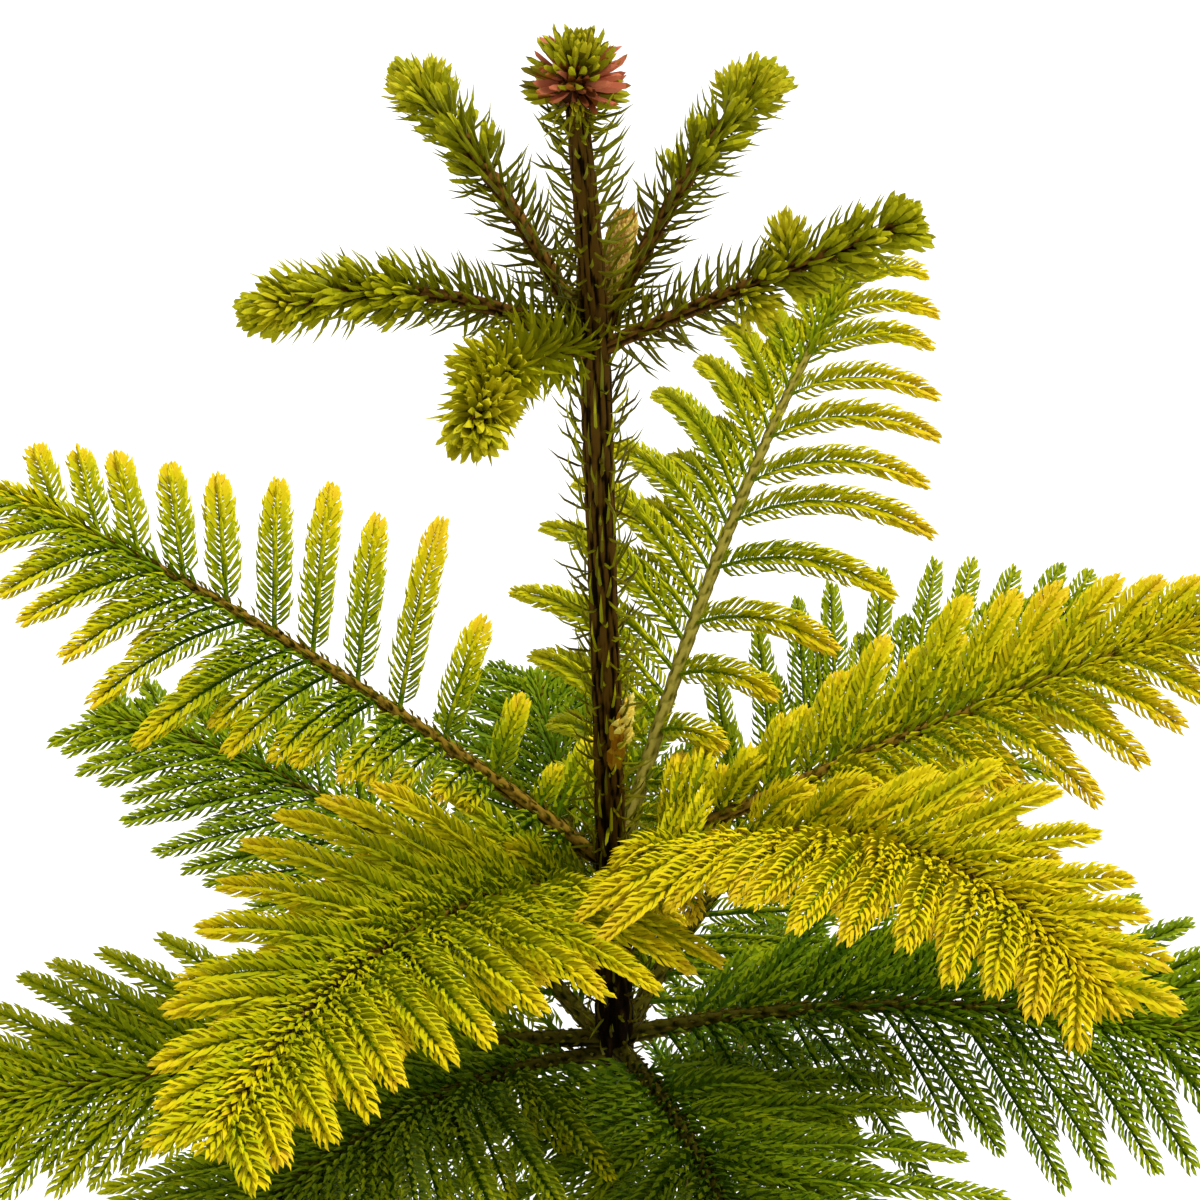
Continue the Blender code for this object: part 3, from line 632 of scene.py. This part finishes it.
def add_needles(pile, roots, directions, outwards, lengths, half_widths, bulge, stations, levels, fade):
    """Closed three-sided needles; the levels are their shades, and fade what the tip's adds."""
    flanks = unit(np.cross(directions, outwards))
    keels = np.cross(flanks, directions)
    lengths, half_widths = column(lengths), column(half_widths)
    rings = []
    for share, width, bend in stations:
        centres = roots + directions * lengths * share + keels * lengths * bulge * bend
        if width:
            for flank, keel in CORNERS:
                rings.append(centres + half_widths * width * (flank * flanks + keel * keels))
        else:
            rings.append(centres)
    points = np.stack(rings, axis=1)
    count, size = points.shape[:2]
    template, places = needle_faces(stations)
    faces = template[None, :, :] + (np.arange(count) * size)[:, None, None]
    shades = column(levels) + np.reshape(fade, (-1, 1)) * places[None, :]
    pile.add(points.reshape(-1, 3), faces.reshape(-1, 3), shades.ravel())


def dress_line(pile, line, dress, levels, rng, fade=0.8, turns=None):
    """Needles along a line, in a spiral or at the turns, each leaning forward and curving in."""
    count = len(line.places)
    if turns is None:
        turns = np.arange(count) * GOLDEN_TURN + rng.uniform(0, 2 * math.pi)
    outwards = (column(np.cos(turns)) * line.sides
                + column(dress.roundness * np.sin(turns)) * line.aboves)
    opening = np.radians(value_at(line.places, dress.opening) + rng.normal(0, dress.unrest, count))
    directions = unit(column(np.cos(opening)) * line.tangents + column(np.sin(opening)) * outwards
                      + UP * dress.lift)
    lengths = value_at(line.places, dress.length) * rng.uniform(0.88, 1.10, count)
    roots = line.centres + outwards * column(line.radii) * 0.5
    widths = dress.half_width * rng.uniform(0.85, 1.15, count)
    add_needles(pile, roots, directions, unit(outwards), lengths, widths, dress.bulge, dress.stations,
                levels + rng.normal(0, 0.25, count), fade)


# ------ twigs
class Twig:
    """A needle-clad twig: a gently drooping line and the comb plane that its spray lies in."""

    def __init__(self, root, direction, flat, length, droop, root_radius):
        self.root, self.direction, self.flat = root, direction, flat
        self.length, self.droop, self.root_radius = length, droop, root_radius

    def points(self, u):
        u = column(u)
        return self.root + self.length * (self.direction * u - UP * self.droop * u * u)

    def line(self, u):
        tangents = unit(self.direction - UP * 2 * self.droop * column(u))
        aboves = unit(np.cross(tangents, self.flat))
        aboves = np.where(aboves[:, 2:] < 0, -aboves, aboves)
        return Line(self.points(u), tangents, np.cross(aboves, tangents), aboves, TWIG_SEAT, u)

    def samples(self):
        count = max(3, round(self.length / TWIG_STEP))
        return self.points(0.25 + 0.75 * np.arange(count + 1) / count)


def twig_length(whorl, t):
    opening = min(1.0, FIRST_LENGTH + (1 - FIRST_LENGTH) * (t - whorl["bare"]) / FULL_SHARE)
    past = max(0.0, (t - whorl["taper_from"]) / (1.0 - whorl["taper_from"]))
    return whorl["longest"] * opening * (1.0 - TIP_LOSS * past ** 1.15)


def stagger(k, count):
    """Height of a whorl's bough beside the others': up and down in turn, with an odd last one level."""
    return 0.0 if k == count - 1 and count % 2 else STAGGER * (-1) ** k


def whorl_limbs(whorl):
    count = len(whorl["boughs"])
    return [Limb(whorl["height"] + stagger(k, count), bough.azimuth, bough.reach, bough.rise,
                 bough.arch, bough.bend, whorl["root_radius"], whorl["tip_radius"])
            for k, bough in enumerate(whorl["boughs"])]


def twig_from(limb, whorl, bough, side, t, dice, group):
    """One twig at t along the limb, on its left (side 1) or right (side -1)."""
    tangent = limb.tangents(t)
    level, above = across(tangent)
    wide, narrow = whorl["spread"]
    wider = group.wider + (bough.left if side > 0 else bough.right)
    wider += max(0, side * bough.first) * max(0.0, 1 - (t - whorl["bare"]) / FIRST_SHARE)
    opening = math.radians(wide + (narrow - wide) * t ** 1.5 + wider
                           + dice.uniform(-group.unrest, group.unrest))
    raised = math.radians(whorl["raised"] * (1.1 - 0.5 * t) - side * bough.roll + group.lift
                          + dice.uniform(-group.unrest, group.unrest))
    outward = turned(level * side, above, raised)
    direction = tangent * math.cos(opening) + outward * math.sin(opening)
    flat = outward * math.cos(opening) - tangent * math.sin(opening)
    length = twig_length(whorl, t) * bough.scale * dice.uniform(0.93, 1.05)
    return Twig(limb.points(t), direction, flat, length * group.scale,
                whorl["droop"] * bough.droop + group.sink, TWIG_ROOT * limb.radius(t))


def distance_to(line, points):
    return np.linalg.norm(points[:, None, :] - line[None, :, :], axis=2).min(axis=1)


def in_own_space(points, owner, lines, claims):
    """Whether every point lies nearer its own stem than a neighbour's, weighed by their claims."""
    own = distance_to(lines[owner], points) + HALF_CLEARANCE
    return all((own * claims[other] < (distance_to(line, points) - HALF_CLEARANCE) * claims[owner]).all()
               for other, line in enumerate(lines) if other != owner)


def fitted(twig, owner, lines, claims):
    """The twig, shortened to its mass's own space, or None where it has no room."""
    while twig.length >= SHORTEST_TWIG:
        if in_own_space(twig.samples(), owner, lines, claims):
            return twig
        twig.length *= SHRINK
    return None


def grow_twigs(whorl, limbs, owner, steps, dice, group):
    """Twigs of one bough as (side, place, twig), at steps of (place in the comb, side).

    The first twigs of a crossing bough keep their length beside and in front of the trunk.
    """
    lines = [limb.points(np.arange(STEM_STEPS + 3) / STEM_STEPS) for limb in limbs]
    claims = [bough.claim for bough in whorl["boughs"]]
    crossing = whorl["looks"][owner].crossing
    twigs = []
    for step, side in steps:
        place = (step + 0.35 + 0.25 * side + dice.uniform(-0.12, 0.12)) / whorl["twigs"]
        t = whorl["bare"] + FIRST_TWIG + (LAST_TWIG - whorl["bare"]) * max(FOOT_PLACE, place)
        twig = twig_from(limbs[owner], whorl, whorl["boughs"][owner], side, t, dice, group)
        if step >= crossing[0 if side > 0 else 1]:
            twig = fitted(twig, owner, lines, claims)
        twigs.append((side, t, twig))
    return [entry for entry in twigs if entry[2]]


def midway(count, own):
    """Places of a bough's finer twigs, counted in its own ones: between them, or two or more to a gap."""
    if count > own:
        return [(i + 0.5) * own / count for i in range(count)]
    return [math.floor((i + 0.5) * own / count) + 0.5 for i in range(count)]


def on_both_sides(places):
    return [(place, side) for place in places for side in (1, -1)]


def end_twig(limb, whorl):
    """The spray that closes the stem's own tip."""
    level, _ = across(limb.tangents(END_SPRAY))
    length = 1.05 * float(np.linalg.norm(limb.points(1.0) - limb.points(END_SPRAY)))
    return Twig(limb.points(END_SPRAY), limb.tangents(END_SPRAY), level, length, 0.05,
                TWIG_ROOT * limb.radius(END_SPRAY))


def bough_twigs(name, whorl, limbs, owner):
    """A bough's twigs as two rows of (stations of their needles, twigs): the comb and the finer ones."""
    own, looks, seed = whorl["twigs"], whorl["looks"][owner], f"{name}-{owner}"
    comb = grow_twigs(whorl, limbs, owner, on_both_sides(range(own)), random.Random(seed), COMB)
    comb.append((1, 1.0, end_twig(limbs[owner], whorl)))
    between = [(place, side) for side, count in zip((1, -1), looks.finer) for place in midway(count, own)]
    finer = grow_twigs(whorl, limbs, owner, between + on_both_sides(FOOT_STEPS),
                       random.Random(seed + "-finer"), FINER)
    over = on_both_sides([i * own / looks.cover for i in range(looks.cover)])
    finer += grow_twigs(whorl, limbs, owner, over, random.Random(seed + "-cover"), COVER)
    return (whorl["stations"], comb), (SLIM_NEEDLE, finer)


def add_twig_stem(pile, twig, level):
    """The twig's own thin stem, four-sided and blunt at both ends."""
    rings = 6
    line = twig.line(np.linspace(0.0, 0.95, rings))
    radii = column(np.linspace(max(0.0014, twig.root_radius * 0.8), 0.0009, rings))
    corners = ((1, 0), (0, 1), (-1, 0), (0, -1))
    points = np.stack([line.centres + radii * (a * line.sides + b * line.aboves) for a, b in corners],
                      axis=1)
    last = 4 * (rings - 1)
    faces = []
    for first in range(0, last, 4):
        for k in range(4):
            here, beside = first + k, first + (k + 1) % 4
            faces += [(here, beside, beside + 4), (here, beside + 4, here + 4)]
    faces += [(0, 2, 1), (0, 3, 2), (last, last + 1, last + 2), (last, last + 2, last + 3)]
    pile.add(points.reshape(-1, 3), np.array(faces), np.full(len(faces), level))


def dress_twig(pile, twig, whorl, foot, tip, stations, rng):
    """A twig's needles: open and dark at the foot, crowded and lighter at its blunt tip."""
    count = int(twig.length / whorl["pitch"])
    u = 0.03 + 0.94 * spaced(0, 1, count) ** 0.90
    longest = whorl["needle_length"] * min(1.0, 0.72 + 3.2 * twig.length)
    half_width = whorl["half_width"] * (SLIM_WIDTH if stations is SLIM_NEEDLE else 1.0)
    dress = Dress(scaled(TWIG_LENGTHS, longest), half_width,
                  scaled(TWIG_OPENINGS, whorl["needle_opening"]), stations, 0.14, 2.4, 0.90)
    levels = foot + (tip - foot) * u ** 1.6 + rng.normal(0, 0.25)
    turns = RANKS[np.arange(count) % len(RANKS)] + rng.normal(0, 0.10, count)
    lighter_tips = 2.5 - 1.5 * u
    dress_line(pile, twig.line(u), dress, levels, rng, lighter_tips, turns)


def dress_leaf_bases(pile, limb, whorl, rng):
    """Short leaves that clothe a limb's bark from its foot on."""
    start, stop = 1.2 * float(trunk_radius(limb.height)) / limb.reach, 0.95
    count = int((stop - start) * limb.length() / LEAF_BASE_PITCH)
    t = spaced(start, stop, count)
    dress = LEAF_BASE_NEEDLES._replace(half_width=0.9 * whorl["half_width"])
    dress_line(pile, limb.line(t, LEAF_BASE_SEAT), dress, rng.uniform(0.0, 1.6, count), rng, 1.0)


def dress_limb(pile, limb, whorl, looks, rng):
    """Needles on the outer part of a limb, thicker towards its tip."""
    start = looks.clad
    count = int((0.97 - start) * limb.length() / (0.0006 if start < 0.2 else 0.0009))
    t = start + (0.965 - start) * np.sort(rng.uniform(0, 1, count)) ** 0.8
    dress = Dress(scaled(LIMB_LENGTHS, whorl["needle_length"]), whorl["half_width"], LIMB_OPENINGS,
                  FINE_NEEDLE, 0.07, roundness=0.9, lift=0.05)
    foot, tip = looks.left
    dress_line(pile, limb.line(t), dress, foot + (tip - foot) * ((t - start) / (1 - start)) ** 1.2, rng)


def make_whorl(name, whorl, barks, shades, olive):
    limbs = whorl_limbs(whorl)
    bark_piece(f"{name}_boughs_with_bark", [limb_tube(limb, BOUGH_BARK) for limb in limbs],
               [barks[kind] for kind in whorl["barks"]], numbered(f"{name}_bough", limbs),
               [looks.bark for looks in whorl["looks"]])
    stems, bases, piles = Pile(), Pile(), [Pile()]
    for owner, (limb, looks) in enumerate(zip(limbs, whorl["looks"])):
        rng = np.random.default_rng([owner, len(name)])
        if piles[-1].triangles() > FULL_PILE:
            piles.append(Pile())
        for stations, twigs in bough_twigs(name, whorl, limbs, owner):
            for side, t, twig in twigs:
                foot, tip = looks.left if side > 0 else looks.right
                foot += (tip - foot) * FOOT_LIGHTER * max(0.0, t - LIGHTER_FROM)
                dress_twig(piles[-1], twig, whorl, foot, tip, stations, rng)
                add_twig_stem(stems, twig, foot)
        dress_limb(piles[-1], limb, whorl, looks, rng)
        if not looks.bark:
            dress_leaf_bases(bases, limb, whorl, rng)
    slot, masses = f"{name}_needles", numbered(f"{name}_mass", limbs)
    stems.build(f"{name}_twigs", shades, slot, masses)
    bases.build(f"{name}_leaf_bases", olive, slot, masses)
    for k, pile in enumerate(piles):
        pile.build(f"{name}_needles_{k + 1}", shades, slot, masses)


# ------ top whorl
def add_budlet(pile, root, direction, budlet, levels, rng):
    """A small bud of long pointed scales that fan out round its middle; levels are its foot's and tip's."""
    places = np.linspace(0.0, 1.0, budlet.scales)
    dress = Dress(((0.0, 0.86 * budlet.length), (1.0, 0.66 * budlet.length)), budlet.half_width,
                  ((0.0, budlet.opening), (1.0, 3)), SCALE_NEEDLE, 0.06, 4)
    line = straight_line(root, direction, places, 0.34 * budlet.length, 0.0020)
    foot, tip = levels
    dress_line(pile, line, dress, foot, rng, tip - foot)


def dress_shoot(pile, limb, crowding, lightness, rng):
    """A young shoot: thin upswept needles on brown bark, then budlets beside it and at its tip."""
    start, stop = SHOOT_SPAN
    count = int((stop - start) * limb.length() / SHOOT_PITCH * crowding)
    t = spaced(start, stop, count)
    dress_line(pile, limb.line(t), SHOOT_NEEDLES, lightness + 1.0 + 2.6 * t ** 2, rng, 1.6)
    start, stop = SHOOT_BUD_SPAN
    buds = round(SHOOT_BUDS * crowding)
    for k in range(buds):
        t = start + (stop - start) * k / (buds - 1)
        tangent = limb.tangents(t)
        outward = turned(*across(tangent), k * GOLDEN_TURN + rng.uniform(-0.3, 0.3))
        tilt = math.radians(46 - 14 * t + rng.uniform(-6, 6))
        direction = math.cos(tilt) * tangent + math.sin(tilt) * outward
        level = 0.4 * lightness + 1.8 + 0.8 * t
        add_budlet(pile, limb.points(t) + outward * 0.0016, direction, SHOOT_BUDLET, (level, level + 2.8),
                   rng)
    tangent = limb.tangents(1.0)
    level = 0.4 * lightness + 2.4
    for k in range(TIP_BUDS):
        outward = turned(*across(tangent), 2 * math.pi * k / TIP_BUDS)
        add_budlet(pile, limb.points(TIP_BUD_PLACE), unit(tangent + TIP_BUD_SPREAD * outward), TIP_BUDLET,
                   (level, level + 2.8), rng)


def dress_side_shoot(pile, limb, place, turn, raised, length, lightness, rng):
    """Short side shoot: stout needles round a stubby core."""
    tangent = limb.tangents(place)
    level, above = across(tangent)
    angle = math.radians(abs(turn))
    outward = turned(level * (1 if turn > 0 else -1), above, math.radians(raised))
    direction = unit(tangent * math.cos(angle) + outward * math.sin(angle))
    count = int(24 + length * 1000)
    s = spaced(0.10, 1.0, count)
    line = straight_line(limb.points(place), direction, s, 0.95 * length, 0.0022)
    dress_line(pile, line, SIDE_SHOOT_NEEDLES, 0.4 * lightness + 2.7 + 1.5 * s, rng, 2.6)


def make_top_whorl(bark, shades):
    tubes, pile = [], Pile()
    for k, (*form, side_shoots) in enumerate(TOP_SHOOTS):
        limb = Limb(TOP_WHORL, *form, SHOOT_ROOT_RADIUS, SHOOT_TIP_RADIUS)
        rng = np.random.default_rng([k, 17])
        crowding, lightness = SHOOT_LOOKS[k]
        tubes.append(limb_tube(limb, SHOOT_BARK))
        dress_shoot(pile, limb, crowding, lightness, rng)
        for side_shoot in side_shoots:
            dress_side_shoot(pile, limb, *side_shoot, lightness, rng)
    bark_piece("top_boughs_with_bark", tubes, [bark], numbered("top_bough", tubes),
               [0] * len(tubes))
    pile.build("top_needles", shades, "top_needles", numbered("top_mass", tubes))


# ------ needles of the trunk
def make_trunk_needles(shades):
    """Upswept needles on the leader, sparse and withered ones on the older trunk, the clinging ones
    darkened low down as painted shade.
    """
    rng = np.random.default_rng(5)
    pile = Pile()
    fade = 1.5
    z = np.arange(TOP_WHORL + 0.012, TRUNK_TOP - 0.002, 0.00080)
    dress_line(pile, trunk_line(z), LEADER_NEEDLES, 0.8 + (z - TOP_WHORL) / 0.12, rng, fade)
    z = np.arange(0.62, TOP_WHORL, 0.0019)
    dress_line(pile, trunk_line(z), OLD_NEEDLES, rng.uniform(0.4, 2.4, len(z)), rng, fade)
    z = np.arange(0.66, TOP_WHORL, 0.0022)
    # Painted shade: clinging needles low on the trunk, where the boughs above shade it, get darker shades.
    levels = rng.uniform(0.4, 3.8, len(z)) * value_at(z, ((0.70, 0.2), (0.85, 1.0)))
    dress_line(pile, trunk_line(z, CLINGING_SEAT), CLINGING_NEEDLES, levels, rng, fade)
    pile.build("trunk_needles", shades, "top_needles")


def make_torn_strip(shades):
    """Cream scales over rust wood where a strip of bark is torn, on the trunk's front right."""
    rng = np.random.default_rng(23)
    pile = Pile()
    for count, low, high, left, right, leans, stands, length, level in (RUST_WOOD, CREAM_SCALES):
        z = rng.uniform(low, high, count)
        turns = np.radians(rng.uniform(left, right, count))
        outwards = np.stack([np.cos(turns), np.sin(turns), np.zeros(count)], axis=-1)
        roots = trunk_middle(z) + outwards * column(trunk_radius(z))
        lean = np.radians(rng.uniform(-leans, leans, count))
        directions = unit(UP * column(np.cos(lean)) + np.cross(UP, outwards) * column(np.sin(lean))
                          + outwards * column(rng.uniform(0.3 * stands, stands, count)))
        add_needles(pile, roots, directions, outwards, length * rng.uniform(0.75, 1.25, count),
                    rng.uniform(0.0015, 0.0026, count), 0.05, BLUNT_NEEDLE,
                    level + rng.uniform(0.0, 0.8, count), 0.4)
    pile.build("torn_bark_scales", shades, "trunk_bark")


# ------ buds
def tilted(turn, opening):
    tilt = math.radians(opening)
    return np.array([math.cos(turn) * math.sin(tilt), math.sin(turn) * math.sin(tilt), math.cos(tilt)])


def rosette_levels(row, i, turn):
    """Shades at a budlet's foot and tip: red and dark ones in the second row, green-tipped elsewhere."""
    front, beside = -math.sin(turn), abs(math.cos(turn))
    if row == 1:
        return ((0.7, 2.4), (1.9, 4.4))[i % 2] if beside > 0.6 else (0.0, 1.2)
    if row == 0 or row == 2 and beside > 0.5:
        return 0.8, 5.4
    if row == 2:
        return (0.0, 4.6) if front > 0 else (2.6, 5.6)
    return 2.2, 5.9


def make_terminal_bud(shades):
    """Rosette of budlets on the leader's tip, round a dark core, with a collar of recurved needles."""
    rng = np.random.default_rng(11)
    pile = Pile()
    foot = trunk_middle(TRUNK_TOP)
    for row, (rise, count, opening, length) in enumerate(BUD_ROWS):
        for i in range(count):
            turn = 2 * math.pi * (i + 0.5 * row) / count
            direction = tilted(turn, opening + rng.uniform(-6, 6))
            if row > 0 or -math.sin(turn) <= 0.6:       # the front is left to its own budlets
                add_budlet(pile, foot + UP * rise, direction, Budlet(length, 8, 0.0017, 26),
                           rosette_levels(row, i, turn), rng)
    for rise, direction, budlet, levels in FRONT_BUDLETS:
        add_budlet(pile, foot + UP * rise, unit(np.array(direction)), budlet, levels, rng)
    core_length, core_width = BUD_CORE
    add_needles(pile, foot[None, :] - UP * 0.004, UP[None, :], np.array([[0.0, 1.0, 0.0]]), [core_length],
                [core_width], 0.0, BLUNT_NEEDLE, [0.0], 0.0)
    low, high = COLLAR_SPAN
    z = np.linspace(TRUNK_TOP + low, TRUNK_TOP + high, COLLAR_COUNT)
    dress_line(pile, trunk_line(z), COLLAR_NEEDLES, 3.8, rng, 1.5)
    pile.build("terminal_bud_scales", shades, "bud_scales", ["terminal_bud"])


def make_side_bud(shades):
    """Dormant bud behind the leader: dry scales, shingled up a blunt spindle."""
    rng = np.random.default_rng(13)
    pile = Pile()
    out = tilted(math.radians(SIDE_BUD_AZIMUTH), 90)
    height = TOP_WHORL + 0.004
    clear = float(trunk_radius(height - SIDE_BUD_STALK)) + GAP
    elbow = trunk_middle(height) + out * (clear + 0.008) + UP * 0.004
    slope = unit(UP + out * 0.08 + np.array([SIDE_BUD_LEAN, 0.0, 0.0]))
    s = np.linspace(-0.05, 0.93, SIDE_BUD_SCALES)
    girth = 1.5 * value_at(s, SIDE_BUD_GIRTH) * SIDE_BUD_RADIUS
    dress_line(pile, straight_line(elbow, slope, s, SIDE_BUD_HEIGHT, girth), DRY_SCALES,
               rng.uniform(0, 2.6, SIDE_BUD_SCALES), rng, 0.6)
    pile.build("side_bud_scales_dry", shades, "side_bud_scales", ["side_bud"])


# ------ floor, light and camera
def make_stage():
    mesh = bpy.data.meshes.new("floor")
    corners = [(a * FLOOR_REACH, b * FLOOR_REACH, 0) for a, b in ((-1, -1), (1, -1), (1, 1), (-1, 1))]
    mesh.from_pydata(corners, [], [(0, 1, 2, 3)])
    mesh.materials.append(plain_material("pale_floor", FLOOR_COLOUR, 0.9, 0.5))
    add_object("floor", mesh)
    world = bpy.data.worlds.new("studio")
    world.use_nodes = True
    sky = world.node_tree.nodes["Background"]
    sky.inputs["Color"].default_value = (1.0, 1.0, 1.0, 1.0)
    sky.inputs["Strength"].default_value = SKY_STRENGTH
    bpy.context.scene.world = world


def add_light(name, azimuth, height, strength, softness):
    """Even light from far off; softness is the width of its source in degrees."""
    lamp = bpy.data.lights.new(name, "SUN")
    lamp.energy = strength
    lamp.angle = math.radians(softness)
    item = add_object(name, lamp)
    item.rotation_euler = (math.radians(90 - height), 0.0, math.radians(azimuth + 90))


def make_camera():
    camera = bpy.data.cameras.new("camera")
    camera.sensor_width = 36.0
    camera.lens = camera.sensor_width / 2 / math.tan(math.radians(CAMERA_FIELD / 2))
    item = add_object("camera", camera)
    item.location = CAMERA_PLACE
    item.rotation_euler = (math.radians(CAMERA_TILT), 0.0, 0.0)
    bpy.context.scene.camera = item


def main():
    bpy.context.scene.view_settings.view_transform = "Standard"
    make_camera()
    make_stage()
    add_light("key", azimuth=35, height=62, strength=3.2, softness=20)
    needle_shades = palette("needle", NEEDLE_SHADES)
    olive_shades = palette("shoot_needle", OLIVE_SHADES)
    scale_shades = palette("bud_scale", SCALE_SHADES)
    # The dormant bud's scales are lightened with painted light against the leader's shade.
    dry_shades_with_painted_light = palette("dry_scale_painted_light", DRY_SHADES_WITH_PAINTED_LIGHT)
    cream_shades = palette("torn_scale", CREAM_SHADES)
    barks = {kind: bark_material(f"{kind}_bark_relief_painted_shade", *looks) for kind, looks in BARKS.items()}
    make_trunk(barks["trunk"])
    make_trunk_needles(olive_shades)
    make_torn_strip(cream_shades)
    make_top_whorl(barks["shoot"], olive_shades)
    for name, whorl in WHORLS.items():
        make_whorl(name, whorl, barks, needle_shades, olive_shades)
    make_terminal_bud(scale_shades)
    make_side_bud(dry_shades_with_painted_light)


main()
